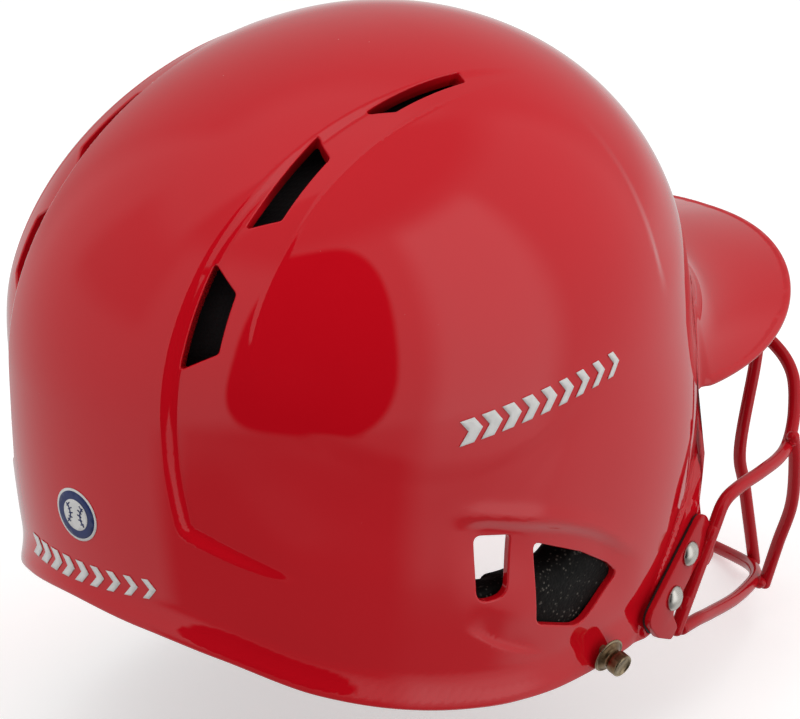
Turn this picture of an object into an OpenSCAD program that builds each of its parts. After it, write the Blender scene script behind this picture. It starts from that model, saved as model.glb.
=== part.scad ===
// Batting helmet: moulded shell with a visor and two ear flaps, a welded wire
// face guard on two plates, foam pads inside and chin strap studs.
// -Y is where the wearer looks, -X is the wearer's right, Z is up, in mm.

/* [Shell] */
// Half width of the shell at its widest
half_width = 103; // [99:0.5:107]
// Centre of the shell to its forehead
front_reach = 111; // [107:0.5:115]
// Centre of the shell to its back
back_reach = 137; // [132:0.5:142]
// Centre of the shell to the crown
crown_rise = 101; // [96:0.5:106]
// Wall of the moulded shell
wall = 3; // [2.6:0.1:3.4]
// Depth of the air channels beside the centre panel
channel_depth = 3; // [2:0.25:3.5]

/* [Visor] */
// Half width of the visor where it leaves the shell
visor_half_width = 80; // [76:0.5:84]
// Length of the visor ahead of the temples
visor_reach = 103.5; // [96:0.5:108]
// Height of the visor tip above the ear flaps
visor_height = 103.5; // [100:0.5:107]

/* [Face guard] */
// Coated wire diameter
wire = 4.8; // [4.4:0.1:5.2]
// Width of the fixing plates
plate_width = 13; // [12:0.5:14]
// Thickness of the fixing plates
plate_thick = 2.5; // [2:0.1:3]
// Thickness of the rubber spacers under the plates
spacer_thick = 2; // [1.5:0.1:2.5]
// Diameter of the domed screw heads
head_diameter = 9; // [8:0.1:10]

/* [Chin strap studs] */
// Diameter of the stud flange
stud_flange = 12.6; // [11.6:0.1:13.4]
// Diameter of the snap end of the stud
stud_snap = 10; // [9.4:0.1:10.6]

/* [Pads] */
// Thickness of the crown, front and rear pads
pad_thick = 10; // [7:0.5:12]
// Thickness of the ear pads
ear_pad_thick = 13; // [10:0.5:15]

/* [Hidden] */
$fn = 48;
// Heights are measured from the bottom of the ear flaps, then everything is
// moved so that the face guard stands on Z = 0 with the part centred in X, Y.
centre_z = 112.8;
skirt = 260;
power = 2.04;
move_all = [0, 21.9, 39.8];
gap = 0.3;

function unit(v) = v / norm(v);
function smooth(u) = let (w = min(1, max(0, u))) w * w * (3 - 2 * w);
function mirror_x(p) = [-p[0], p[1], p[2]];
function reversed(p) = [for (i = [len(p) - 1:-1:0]) p[i]];

// ---- Shell surface -------------------------------------------------------
// f is the bearing round the helmet, 0 at the forehead and 180 at the nape.
// Height of the lower edge at each bearing: visor root, temple, jaw, flap, nape.
rim_table = [[0, 100], [20, 96], [36, 88], [42, 82], [45, 77], [46.3, 70],
    [46.8, 57], [47.3, 45], [48.2, 33], [51.3, 20], [56.2, 10], [62.8, 5],
    [78, 2.4], [93, 1.5], [106, 3], [118, 6.5], [130, 12], [143, 21],
    [157, 35], [168, 42.5], [180, 46]];
root_z = 121;
visor_start = 48.5;

function rim_z(f) = lookup(abs(f), rim_table);
function bulge(th) = power + 0.5 * smooth((th - 80) / 40);
function plan_power(f, th) = cos(f) > 0 ? bulge(th) : power;
function length_of(f) = cos(f) > 0 ? front_reach : back_reach;
function plan_r(f, q) = pow(pow(abs(sin(f)) / half_width, q)
    + pow(abs(cos(f)) / length_of(f), q), -1 / q);
function dome_r(f, th) = pow(pow(sin(th) / plan_r(f, plan_power(f, th)), power)
    + pow(abs(cos(th)) / (th < 90 ? crown_rise : skirt), power), -1 / power);
function dome(f, th) = dome_r(f, th)
    * [-sin(f) * sin(th), -cos(f) * sin(th), cos(th)] + [0, 0, centre_z];
// Polar angle at which the dome passes a height, by three corrections
function angle_step(f, z, th) = atan2(plan_r(f, plan_power(f, th))
    * pow(1 - pow(abs(z - centre_z) / (z > centre_z ? crown_rise : skirt), power),
    1 / power), z - centre_z);
function angle_at(f, z) = angle_step(f, z, angle_step(f, z, angle_step(f, z, 100)));

// Visor edge in plan is a superellipse seen from between the temples
function visor_turn(f) = let (u = min(1, abs(f) / visor_start))
    90 * (u + 0.35 * (u - u * u));
function visor_r(t) = pow(pow(abs(sin(t)) / visor_half_width, 2.6)
    + pow(abs(cos(t)) / visor_reach, 2.6), -1 / 2.6);
function visor_edge(f) = let (t = visor_turn(f), r = visor_r(t))
    [-sign(f) * r * sin(t), -72 - r * cos(t), 79 + (visor_height - 79)
    * (1 - pow(r * sin(t) / visor_half_width, 2.4))];
function visor_shift(f) = abs(f) >= visor_start ? [0, 0, 0]
    : (visor_edge(f) - dome(f, angle_at(f, rim_z(f)))) * smooth((visor_start - abs(f)) / 8);
function fillet(s) = (sqrt(s * s + 0.04) - 0.2) / (sqrt(1.04) - 0.2);

// Flat seat for the guard plate on the jaw corner of each ear flap
function seat_x(y) = 90 + 0.2 * (y + 58);
function on_seat_side(p) = smooth((-0.802 * (p[1] + 66) - 0.597 * (p[2] - 50)) / 4);
function rim_flare(f, th, end) = abs(f) < 58 ? 0
    : 2.2 * (1 - smooth((end - th) * 1.8 / 9)) * smooth((abs(f) - 58) / 15);

// s runs 0 to 1 from the visor root height down to the lower edge
function skin(f, s) = let (top = angle_at(f, root_z), end = angle_at(f, rim_z(f)),
    th = top + (end - top) * s, p = dome(f, th),
    seat = on_seat_side(p) * smooth((abs(f) - 30) / 12),
    side = p[0] < 0 ? -1 : 1)
    p + fillet(s) * visor_shift(f) + [side * seat * (seat_x(p[1]) - abs(p[0])), 0, 0]
    + (1 - seat) * rim_flare(f, th, end) * [-sin(f), -cos(f), 0];
// u from 0 at the crown to 1 at the root height, then 1 to 2 down to the edge
function skin_at(f, u) = u <= 1 ? dome(f, u * angle_at(f, root_z)) : skin(f, u - 1);
function normal_at(f, u) = let (a = max(0.02, u - 0.01), b = min(2, u + 0.01))
    unit(cross(skin_at(f + 0.3, u) - skin_at(f - 0.3, u), skin_at(f, b) - skin_at(f, a)));
function inside(f, u, depth) = skin_at(f, u) - depth * normal_at(f, u);

half_bearings = [0, 4, 8, 12, 16, 20, 24, 28, 33, 38, 42, 44.7, 46.4, 47.3,
    49, 52, 57, 63, 70, 78, 87, 96, 105, 114, 123, 132, 141, 150, 159, 168, 174, 180];
bearings = concat(half_bearings, [for (i = [len(half_bearings) - 2:-1:1])
    -half_bearings[i]]);
levels = [0.08, 0.19, 0.3, 0.41, 0.52, 0.63, 0.74, 0.84, 0.93, 1, 1.08, 1.18,
    1.3, 1.45, 1.6, 1.76, 1.9, 2];

module shell_blank() {
    n = len(bearings);
    m = len(levels);
    outer = [for (u = levels) for (f = bearings) skin_at(f, u)];
    inner = [for (u = levels) for (f = bearings) inside(f, u, wall)];
    top = 2 * n * m;
    points = concat(outer, inner, [[0, 0, centre_z + crown_rise],
        [0, 0, centre_z + crown_rise - wall]]);
    sheet = [for (j = [0:m - 2]) for (i = [0:n - 1]) let (k = (i + 1) % n)
        [j * n + i, (j + 1) * n + i, (j + 1) * n + k, j * n + k]];
    tri = [for (q = sheet) each [[q[0], q[1], q[2]], [q[0], q[2], q[3]]]];
    polyhedron(points = points, faces = concat(tri,
        [for (t = tri) [t[2] + n * m, t[1] + n * m, t[0] + n * m]],
        [for (i = [0:n - 1]) [top, i, (i + 1) % n]],
        [for (i = [0:n - 1]) [top + 1, n * m + (i + 1) % n, n * m + i]],
        [for (i = [0:n - 1]) let (a = (m - 1) * n + i, b = (m - 1) * n + (i + 1) % n)
            each [[a, a + n * m, b], [b, a + n * m, b + n * m]]]));
}

// ---- Crown details in side angle (lam) and fore-aft angle (bet) -----------
function ray(lam, bet) = [-sin(lam), -cos(lam) * cos(bet), cos(lam) * sin(bet)];
function ray_r(d) = let (f = atan2(-d[0], -d[1]), th = acos(d[2])) dome_r(f, th);
function on_dome(lam, bet, lift) = let (d = ray(lam, bet))
    d * (ray_r(d) + lift) + [0, 0, centre_z];

// Channel between the centre panel wall and the outer crease
function wall_lam(b) = lookup(b, [[76, 29], [95, 26], [115, 23], [135, 20],
    [155, 17.6], [172, 17], [196, 17.6]]);
function crease_lam(b) = lookup(b, [[76, 30], [95, 31], [120, 29.5], [140, 28],
    [170, 27.5], [180, 31], [196, 36]]);
function channel_cut(b) = channel_depth * smooth((b - 76) / 60)
    * (1 - smooth((b - 188) / 8)) + 0.05;
module channel(low, high) {
    rows = [for (b = [76:6:196]) b];
    n = len(rows);
    pts = [for (b = rows) each [on_dome(wall_lam(b), b, low - channel_cut(b)),
        on_dome(crease_lam(b), b, low + 0.1), on_dome(crease_lam(b), b, high),
        on_dome(wall_lam(b), b, high)]];
    polyhedron(points = pts, faces = concat([[0, 1, 2], [0, 2, 3],
        [4 * n - 4, 4 * n - 2, 4 * n - 3], [4 * n - 4, 4 * n - 1, 4 * n - 2]],
        [for (j = [0:n - 2]) for (i = [0:3]) let (k = (i + 1) % 4)
            each [[4 * j + i, 4 * j + 4 + i, 4 * j + k],
            [4 * j + k, 4 * j + 4 + i, 4 * j + 4 + k]]]));
}

// Three slots on each side, corners as [side angle, fore-aft angle]
vent_front = [[23.3, 117], [25.8, 93], [28.3, 93.5], [26.8, 112.5]];
vent_middle = [[21, 127], [25, 129.5], [24.6, 144], [20.2, 147.5]];
vent_rear = [[18.6, 154], [23.2, 157.5], [23.2, 167], [18.2, 170.5]];
module radial_slot(corners) {
    n = len(corners);
    polyhedron(points = concat([for (c = corners) on_dome(c[0], c[1], 8)],
        [for (c = corners) on_dome(c[0], c[1], -14)]),
        faces = concat([[for (i = [0:n - 1]) i]], [[for (i = [n - 1:-1:0]) n + i]],
        [for (i = [0:n - 1]) let (k = (i + 1) % n) each [[i, n + i, k], [k, n + i, n + k]]]));
}

// Ear openings as seen from the side, [fore-aft, height]
ear_slot = [[47, 70], [33, 67], [33.5, 48], [36, 45.5], [40, 45.5], [45, 50]];
ear_window = [[23, 62], [1, 52], [-17, 40], [-18.5, 36.5], [-11, 26.5],
    [3, 24], [15, 29], [19.5, 35]];
module sideways(outline, from, to) {
    translate([from, 0, 0]) rotate([90, 0, 90]) linear_extrude(to - from) polygon(outline);
}

// ---- Guard seat frame: local Z points out of the right plate seat ----------
seat_turn = atan(0.2);
module on_seat(y, z, lift) {
    translate([-seat_x(y), y, z]) rotate([0, 90, 180 + seat_turn])
        translate([0, 0, lift]) children();
}
screw_a = [-59.5, 28.5];
screw_b = [-49.7, 15.5];
screw_lift = spacer_thick + plate_thick + 2 * 0.02;

// ---- Chin strap stud frame: local Z is the stud's axis ---------------------
stud_base = [-97, -14.5, 8];
stud_tilt = 106;
module on_stud(lift) {
    translate(stud_base) rotate([0, -stud_tilt, 0]) translate([0, 0, lift]) children();
}

module place() { translate(move_all) children(); }
module both() { children(); mirror([1, 0, 0]) children(); }

module shell() color("#b3141f") place() resize([0, 0, 0]) difference() {
    union() {
        shell_blank();
        both() channel(-wall, -1.2);
        both() on_stud(-5) cylinder(d = stud_flange + 1.4, h = 6.5);
    }
    both() channel(0, 8);
    both() { radial_slot(vent_front); radial_slot(vent_middle); radial_slot(vent_rear); }
    both() sideways(ear_slot, -125, -75);
    both() sideways(ear_window, -125, -75);
    both() for (s = [screw_a, screw_b]) on_seat(s[0], s[1], -9) cylinder(d = 5.6, h = 18);
    both() on_stud(-12) cylinder(d = 4.2, h = 30);
    both() on_stud(-20) cylinder(d = 16, h = 15.56);
}

// ---- Coated wires -----------------------------------------------------------
function bend(a, b, c, d, t) = 0.5 * (2 * b + (c - a) * t + (2 * a - 5 * b + 4 * c - d)
    * t * t + (3 * b - a - 3 * c + d) * t * t * t);
function curve(p, n) = concat([for (i = [0:len(p) - 2]) for (k = [0:n - 1])
    bend(p[max(i - 1, 0)], p[i], p[i + 1], p[min(i + 2, len(p) - 1)], k / n)],
    [p[len(p) - 1]]);
module sweep(path, r, ref, sides = 10) {
    n = len(path);
    pts = [for (i = [0:n - 1]) let (t = unit(path[min(i + 1, n - 1)] - path[max(i - 1, 0)]),
        a = unit(cross(t, ref)), b = cross(t, a)) for (k = [0:sides - 1])
        path[i] + r * (cos(k * 360 / sides) * a + sin(k * 360 / sides) * b)];
    polyhedron(points = pts, faces = concat([[for (k = [0:sides - 1]) k]],
        [[for (k = [sides - 1:-1:0]) (n - 1) * sides + k]],
        [for (i = [0:n - 2]) for (k = [0:sides - 1]) let (m = (k + 1) % sides)
            each [[i * sides + k, (i + 1) * sides + k, i * sides + m],
            [i * sides + m, (i + 1) * sides + k, (i + 1) * sides + m]]]));
}
// Right half of each route, from the jaw to the centre line
upper_route = [[-92, -57, -1], [-92, -63, 10], [-92, -75, 32], [-91.5, -81, 40.5],
    [-89, -92, 43.5], [-84, -110, 42], [-77, -129, 38.5], [-70, -143, 38],
    [-64, -153, 45], [-56, -161, 55], [-44, -165.5, 61.5], [-28, -167, 65.5],
    [0, -168, 68]];
lower_route = [[-91.2, -61.4, -1.8], [-88, -73, -3.6], [-83, -86, -7.5], [-71, -115, -16],
    [-57, -143, -23], [-46, -157, -27.5], [-33, -168, -32.5], [-16, -176, -36.5],
    [0, -178.5, -37.5]];
function both_halves(p) = concat(p, [for (i = [len(p) - 2:-1:0]) mirror_x(p[i])]);
outer_upright_route = [[-73.6, -141.5, 41.5], [-72.6, -146, 30], [-68, -151, 10],
    [-62.5, -150, -8], [-60, -145.5, -24.5]];
inner_upright_route = [[-33, -169.5, 66.5], [-33, -167.5, 50], [-33, -161, 18],
    [-33, -165, 0], [-33, -172, -30], [-33, -172.8, -34]];

module guard_upper_wire() color("#9e1820") place()
    sweep(curve(both_halves(upper_route), 3), wire / 2, [0, 0, 1]);
module guard_lower_wire() color("#a81b24") place()
    sweep(curve(both_halves(lower_route), 3), wire / 2, [0, 0, 1]);
module outer_upright() sweep(curve(outer_upright_route, 5), wire / 2, [0, 1, 0]);
module inner_upright() sweep(curve(inner_upright_route, 4), wire / 2, [1, 0, 0]);
module guard_outer_upright_right() color("#b32029") place() outer_upright();
module guard_outer_upright_left() color("#b32029") place() mirror([1, 0, 0]) outer_upright();
module guard_inner_upright_right() color("#b32029") place() inner_upright();
module guard_inner_upright_left() color("#b32029") place() mirror([1, 0, 0]) inner_upright();

// ---- Plates, spacers and screws ---------------------------------------------
// In the seat frame local -X is up and local Y runs aft to fore
module capsule(len_, w) {
    square([len_ - w, w], center = true);
    for (s = [-1, 1]) translate([s * (len_ - w) / 2, 0]) circle(d = w);
}
module plate_outline(grow, lugs) {
    // long axis through both screws, lugs on the side towards the face
    rotate(-53) {
        capsule(47 + grow, plate_width + grow);
        if (lugs) for (s = [-15.5, 15.5]) translate([s - 3.2, 3]) square([6.4, 10]);
    }
}
plate_mid = [-54.6, 22];
module holes() for (s = [screw_a, screw_b])
    on_seat(s[0], s[1], -2) cylinder(d = 5.6, h = 20);
module plate() difference() {
    on_seat(plate_mid[0], plate_mid[1], spacer_thick + 0.02)
        linear_extrude(plate_thick) plate_outline(0, true);
    holes();
}
module spacer() difference() {
    on_seat(plate_mid[0], plate_mid[1], gap)
        linear_extrude(spacer_thick - gap) plate_outline(1.6, false);
    holes();
}
module guard_plate_right() color("#9c1219") place() plate();
module guard_plate_left() color("#9c1219") place() mirror([1, 0, 0]) plate();
module spacer_right() color("#1c1414") place() spacer();
module spacer_left() color("#1c1414") place() mirror([1, 0, 0]) spacer();

module screw() rotate_extrude() polygon([[0, -9.5], [2.4, -9.5], [2.4, 0],
    [head_diameter / 2, 0], [head_diameter / 2, 0.6], [head_diameter / 2 - 0.5, 1.4],
    [head_diameter / 2 - 1.5, 2.1], [head_diameter / 2 - 2.8, 2.5], [0, 2.7]]);
module guard_screws() color("#d8d4cf") place() both() for (s = [screw_a, screw_b])
    on_seat(s[0], s[1], screw_lift) screw();
module t_nut() difference() {
    union() { cylinder(d = 11, h = 1.2); translate([0, 0, 1.1]) cylinder(d = 6.6, h = 1.6); }
    translate([0, 0, -1]) cylinder(d = 4.84, h = 6);
}
module guard_nuts() color("#8f8f92") place() both() for (s = [screw_a, screw_b])
    on_seat(s[0], s[1], -10.2) t_nut();

// ---- Chin strap studs ---------------------------------------------------------
module stud() rotate_extrude() polygon([[0, -3.6], [1.9, -3.6], [1.9, 1.55],
    [stud_flange / 2, 1.55], [stud_flange / 2, 2.4], [stud_flange / 2 - 1.4, 2.9],
    [3.6, 3.3], [3.4, 4.6], [stud_snap / 2 - 0.7, 5.2], [stud_snap / 2, 5.7],
    [stud_snap / 2, 8.9], [stud_snap / 2 - 0.6, 9.5], [0, 9.5]]);
module stud_back() rotate_extrude() polygon([[1.95, -5.4], [4.6, -5.4], [5, -5],
    [5, -4.5], [1.95, -4.5]]);
module snap_stud_right() color("#7a5433") place() on_stud(0) stud();
module snap_stud_left() color("#7a5433") place() mirror([1, 0, 0]) on_stud(0) stud();
module stud_washers() color("#8d7a5c") place() both() on_stud(0) stud_back();

// ---- Foam pads: curved slabs that follow the inside of the shell ----------------
module slab(f0, f1, nf, low, high, nz, gap_out, thick) {
    n = nf + 1;
    m = nz + 1;
    cell = [for (j = [0:nz]) for (i = [0:nf]) let (f = f0 + (f1 - f0) * i / nf)
        [f, low + (high - low) * j / nz]];
    outer = [for (c = cell) inner_point(c[0], c[1], wall + gap_out)];
    inner = [for (c = cell) inner_point(c[0], c[1], wall + gap_out + thick)];
    k0 = n * m;
    face = [for (j = [0:nz - 1]) for (i = [0:nf - 1]) let (a = j * n + i)
        each [[a, a + 1, a + n + 1], [a, a + n + 1, a + n]]];
    edge = concat([for (i = [0:nf - 1]) [i, i + 1]],
        [for (j = [0:nz - 1]) [j * n + nf, (j + 1) * n + nf]],
        [for (i = [nf:-1:1]) [nz * n + i, nz * n + i - 1]],
        [for (j = [nz:-1:1]) [j * n, (j - 1) * n]]);
    polyhedron(points = concat(inner, outer), faces = concat(
        [for (t = face) [t[2], t[1], t[0]]], [for (t = face) [t[0] + k0, t[1] + k0, t[2] + k0]],
        [for (e = edge) each [[e[0], e[1], e[0] + k0], [e[1], e[1] + k0, e[0] + k0]]]));
}
// Offset of the plain dome, without visor, seat or flare
function dome_normal(f, th) = unit(cross(dome(f + 0.4, th) - dome(f - 0.4, th),
    dome(f, th + 0.4) - dome(f, th - 0.4)));
function under_dome(f, th, depth) = dome(f, th) - depth * dome_normal(f, th);
function inner_point(f, z, depth) = under_dome(f, angle_at(f, z), depth);

module front_pad() color("#26262a") place()
    slab(-40, 40, 12, 104, 138, 4, 0.5, pad_thick);
module rear_pad() color("#26262a") place()
    slab(128, 232, 14, 62, 124, 6, channel_depth + gap, pad_thick);
module side_pad() slab(56, 116, 8, 90, 134, 4, gap, pad_thick);
module side_pad_right() color("#26262a") place() side_pad();
module side_pad_left() color("#26262a") place() mirror([1, 0, 0]) side_pad();

// Cap over the top of the head with a lower edge that drops at the back
module crown_pad() color("#26262a") place() {
    nf = 40;
    nt = 7;
    cell = [for (j = [1:nt]) for (i = [0:nf - 1]) let (f = 360 * i / nf - 180,
        low = 141 - 13 * smooth((abs(f) - 105) / 40)) [f, angle_at(f, low) * j / nt]];
    depth = wall + channel_depth + gap;
    out = [for (c = cell) under_dome(c[0], c[1], depth)];
    in = [for (c = cell) under_dome(c[0], c[1], depth + pad_thick)];
    k0 = nf * nt;
    face = [for (j = [0:nt - 2]) for (i = [0:nf - 1]) let (a = j * nf + i,
        b = j * nf + (i + 1) % nf) each [[a, a + nf, b], [b, a + nf, b + nf]]];
    polyhedron(points = concat(out, in, [[0, 0, centre_z + crown_rise - depth],
        [0, 0, centre_z + crown_rise - depth - pad_thick]]),
        faces = concat(face, [for (t = face) [t[2] + k0, t[1] + k0, t[0] + k0]],
        [for (i = [0:nf - 1]) [2 * k0, i, (i + 1) % nf]],
        [for (i = [0:nf - 1]) [2 * k0 + 1, k0 + (i + 1) % nf, k0 + i]],
        [for (i = [0:nf - 1]) let (a = (nt - 1) * nf + i, b = (nt - 1) * nf + (i + 1) % nf)
            each [[a, a + k0, b], [b, a + k0, b + k0]]]));
}

// Jaw and ear pad, an L lying below and ahead of the ear
ear_outline = [[54, 24], [56, 36], [50, 46], [30, 48.5], [8, 48.5], [0, 53],
    [-3, 64], [-8, 74], [-30, 80], [-52, 78], [-60, 66], [-61, 50], [-57, 38],
    [-40, 24], [-26, 14], [-6, 17], [6, 9.5], [30, 9]];
module ear_pad() resize([0, 0, 0]) difference() {
    intersection() {
        slab(44, 126, 12, 4, 84, 6, 0.9, ear_pad_thick);
        sideways(ear_outline, -110, -40);
    }
    for (s = [screw_a, screw_b]) on_seat(s[0], s[1], -11.5) cylinder(d = 14, h = 16);
}
module ear_pad_right() color("#202024") place() ear_pad();
module ear_pad_left() color("#202024") place() mirror([1, 0, 0]) ear_pad();

// ---- Printed decals, thin films on the outside of the shell ---------------------
function outer_point(f, z, lift) = let (th = angle_at(f, z))
    under_dome(f, th, -lift) + rim_flare(f, th, angle_at(f, rim_z(f)))
    * [-sin(f), -cos(f), 0];
module film(f0, f1, nf, z0, z1, nz, slope) {
    n = nf + 1;
    cell = [for (j = [0:nz]) for (i = [0:nf]) let (f = f0 + (f1 - f0) * i / nf)
        [f, z0 + (z1 - z0) * j / nz + slope * (f - f0)]];
    out = [for (c = cell) outer_point(c[0], c[1], 0.75)];
    in = [for (c = cell) outer_point(c[0], c[1], 0.4)];
    k0 = n * (nz + 1);
    face = [for (j = [0:nz - 1]) for (i = [0:nf - 1]) let (a = j * n + i)
        each [[a, a + 1, a + n + 1], [a, a + n + 1, a + n]]];
    edge = concat([for (i = [0:nf - 1]) [i, i + 1]],
        [for (j = [0:nz - 1]) [j * n + nf, (j + 1) * n + nf]],
        [for (i = [nf:-1:1]) [nz * n + i, nz * n + i - 1]],
        [for (j = [nz:-1:1]) [j * n, (j - 1) * n]]);
    polyhedron(points = concat(in, out), faces = concat(
        [for (t = face) [t[2], t[1], t[0]]], [for (t = face) [t[0] + k0, t[1] + k0, t[2] + k0]],
        [for (e = edge) each [[e[0], e[1], e[0] + k0], [e[1], e[1] + k0, e[0] + k0]]]));
}
module side_film() film(82.5, 120, 14, 114, 122.5, 3, -0.25);
module side_decal_right() color("white") place() side_film();
module side_decal_left() color("white") place() mirror([1, 0, 0]) side_film();
module rear_decal() color("white") place() film(163, 192, 15, 53.5, 60.5, 4, -0.09);
module rear_badge() color("#2c3f74") place() film(171.2, 185.1, 7, 67.5, 86, 4, 0);

shell();
guard_upper_wire();
guard_lower_wire();
guard_outer_upright_right();
guard_outer_upright_left();
guard_inner_upright_right();
guard_inner_upright_left();
guard_plate_right();
guard_plate_left();
spacer_right();
spacer_left();
guard_screws();
guard_nuts();
snap_stud_right();
snap_stud_left();
stud_washers();
crown_pad();
front_pad();
rear_pad();
side_pad_right();
side_pad_left();
ear_pad_right();
ear_pad_left();
side_decal_right();
side_decal_left();
rear_decal();
rear_badge();
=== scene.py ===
"""A gloss red batting helmet with a wire face guard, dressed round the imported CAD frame.

Shapes are worked out in millimetres in the flap frame, whose origin is under the crown at
the height of the ear flaps' lower edge, and are moved to the row frame in place().
X is left and right, the face looks along -Y, Z is up. The right side is x < 0.
"""

import math

import bpy
import numpy as np
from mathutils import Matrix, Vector, geometry, kdtree


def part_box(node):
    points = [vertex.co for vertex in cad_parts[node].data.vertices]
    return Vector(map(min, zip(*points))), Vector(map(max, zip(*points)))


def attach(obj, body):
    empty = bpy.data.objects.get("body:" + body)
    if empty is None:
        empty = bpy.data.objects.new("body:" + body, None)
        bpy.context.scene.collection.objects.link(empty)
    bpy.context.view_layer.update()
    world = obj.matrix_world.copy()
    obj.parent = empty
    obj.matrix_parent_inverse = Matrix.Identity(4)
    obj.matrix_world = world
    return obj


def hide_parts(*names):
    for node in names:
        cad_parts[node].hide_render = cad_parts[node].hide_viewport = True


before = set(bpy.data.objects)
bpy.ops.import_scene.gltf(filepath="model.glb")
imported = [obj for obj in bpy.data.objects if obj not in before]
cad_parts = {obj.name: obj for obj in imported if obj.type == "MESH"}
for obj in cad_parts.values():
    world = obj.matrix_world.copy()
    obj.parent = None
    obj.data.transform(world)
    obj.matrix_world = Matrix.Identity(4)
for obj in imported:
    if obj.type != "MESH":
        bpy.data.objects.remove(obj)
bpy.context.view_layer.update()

# ---- The shell's size, as in the CAD ---------------------------------------------------
HALF_WIDTH, FRONT_REACH, BACK_REACH = 103.0, 111.0, 137.0
CROWN_RISE, SKIRT, CENTRE_Z, POWER = 101.0, 260.0, 112.8, 2.04
ROOT_Z, WALL = 121.0, 3.0
VISOR_START, VISOR_HALF_WIDTH, VISOR_REACH, VISOR_HEIGHT = 48.5, 80.0, 103.5, 103.5
WIRE = 4.8
FOREMOST = 180.9  # the lower wire's front in the flap frame

MM = 0.001
OFFSET = np.array([0.0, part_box("guard_lower_wire")[0].y / MM + FOREMOST,
                   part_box("shell")[1].z / MM - CENTRE_Z - CROWN_RISE])
CENTRE = np.array([0.0, 0.0, CENTRE_Z])


def place(points):
    """Flap frame millimetres to row frame metres."""
    return (np.asarray(points, float) + OFFSET) * MM


# ---- Small mathematics -----------------------------------------------------------------
def smooth(u):
    w = np.clip(u, 0.0, 1.0)
    return w * w * (3 - 2 * w)


def sind(a):
    return np.sin(np.radians(a))


def cosd(a):
    return np.cos(np.radians(a))


def unit(v):
    return v / np.maximum(np.linalg.norm(v, axis=-1, keepdims=True), 1e-12)


def soft_max0(x, e):
    """max(x, 0) with its corner rounded over about e."""
    return 0.5 * (x + np.sqrt(x * x + e * e))


def monotone(x, xs, ys):
    """Smooth curve through a table, with no overshoot."""
    xs, ys = np.asarray(xs, float), np.asarray(ys, float)
    h, d = np.diff(xs), np.diff(ys) / np.diff(xs)
    m = np.zeros(len(xs))
    for i in range(1, len(xs) - 1):
        if d[i - 1] * d[i] > 0:
            a, b = 2 * h[i] + h[i - 1], h[i] + 2 * h[i - 1]
            m[i] = (a + b) / (a / d[i - 1] + b / d[i])
    x = np.clip(x, xs[0], xs[-1])
    k = np.clip(np.searchsorted(xs, x) - 1, 0, len(h) - 1)
    t = (x - xs[k]) / h[k]
    return ((1 + 2 * t) * (1 - t) ** 2 * ys[k] + t * (1 - t) ** 2 * h[k] * m[k]
            + t * t * (3 - 2 * t) * ys[k + 1] + t * t * (t - 1) * h[k] * m[k + 1])


# ---- The shell's smooth form -----------------------------------------------------------
# f is the bearing, 0 at the forehead and 180 at the nape, positive towards the right side.
# v is 0 at the crown, 1 at the visor root's height and 2 at the lower edge.
RIM = np.array([[0, 100], [20, 96], [36, 88], [42, 82], [45, 77], [46.3, 70], [46.8, 57],
                [47.3, 45], [48.2, 33], [51.3, 20], [56.2, 10], [62.8, 5], [78, 2.4],
                [93, 1.5], [106, 3], [118, 6.5], [130, 12], [143, 21], [157, 35],
                [168, 42.5], [180, 46]], float)


def rim_z(f):
    return monotone(np.abs(f), RIM[:, 0], RIM[:, 1])


def plan_power(f, th):
    return np.where(cosd(f) > 0, POWER + 0.5 * smooth((th - 80) / 40), POWER)


def plan_r(f, q):
    reach = np.where(cosd(f) > 0, FRONT_REACH, BACK_REACH)
    return ((np.abs(sind(f)) / HALF_WIDTH) ** q + (np.abs(cosd(f)) / reach) ** q) ** (-1 / q)


def dome(f, th):
    up = np.where(th < 90, CROWN_RISE, SKIRT)
    r = ((np.abs(sind(th)) / plan_r(f, plan_power(f, th))) ** POWER
         + (np.abs(cosd(th)) / up) ** POWER) ** (-1 / POWER)
    return r[:, None] * np.stack([-sind(f) * sind(th), -cosd(f) * sind(th), cosd(th)], 1) + CENTRE


def angle_at(f, z):
    """Polar angle at which the dome passes a height."""
    th = np.full_like(f, 100.0)
    up = np.where(z > CENTRE_Z, CROWN_RISE, SKIRT)
    for _ in range(3):
        r = plan_r(f, plan_power(f, th)) * (1 - (np.abs(z - CENTRE_Z) / up) ** POWER) ** (1 / POWER)
        th = np.degrees(np.arctan2(r, z - CENTRE_Z))
    return th


def visor_edge(f):
    u = np.minimum(1, np.abs(f) / VISOR_START)
    t = 90 * (u + 0.35 * (u - u * u))
    r = ((np.abs(sind(t)) / VISOR_HALF_WIDTH) ** 2.6
         + (np.abs(cosd(t)) / VISOR_REACH) ** 2.6) ** (-1 / 2.6)
    drop = (np.minimum(r * sind(t) / VISOR_HALF_WIDTH, 1)) ** 2.4
    return np.stack([-np.sign(f) * r * sind(t), -72 - r * cosd(t),
                     79 + (VISOR_HEIGHT - 79) * (1 - drop)], 1)


def visor_shift(f):
    away = visor_edge(f) - dome(f, angle_at(f, rim_z(f)))
    return away * smooth((VISOR_START - np.abs(f)) / 8)[:, None]


def fillet(s):
    return (np.sqrt(s * s + 0.04) - 0.2) / (math.sqrt(1.04) - 0.2)


def seat_x(y):
    return 90 + 0.2 * (y + 58)


def on_seat_side(p):
    return smooth((-0.802 * (p[:, 1] + 66) - 0.597 * (p[:, 2] - 50)) / 4)


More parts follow.
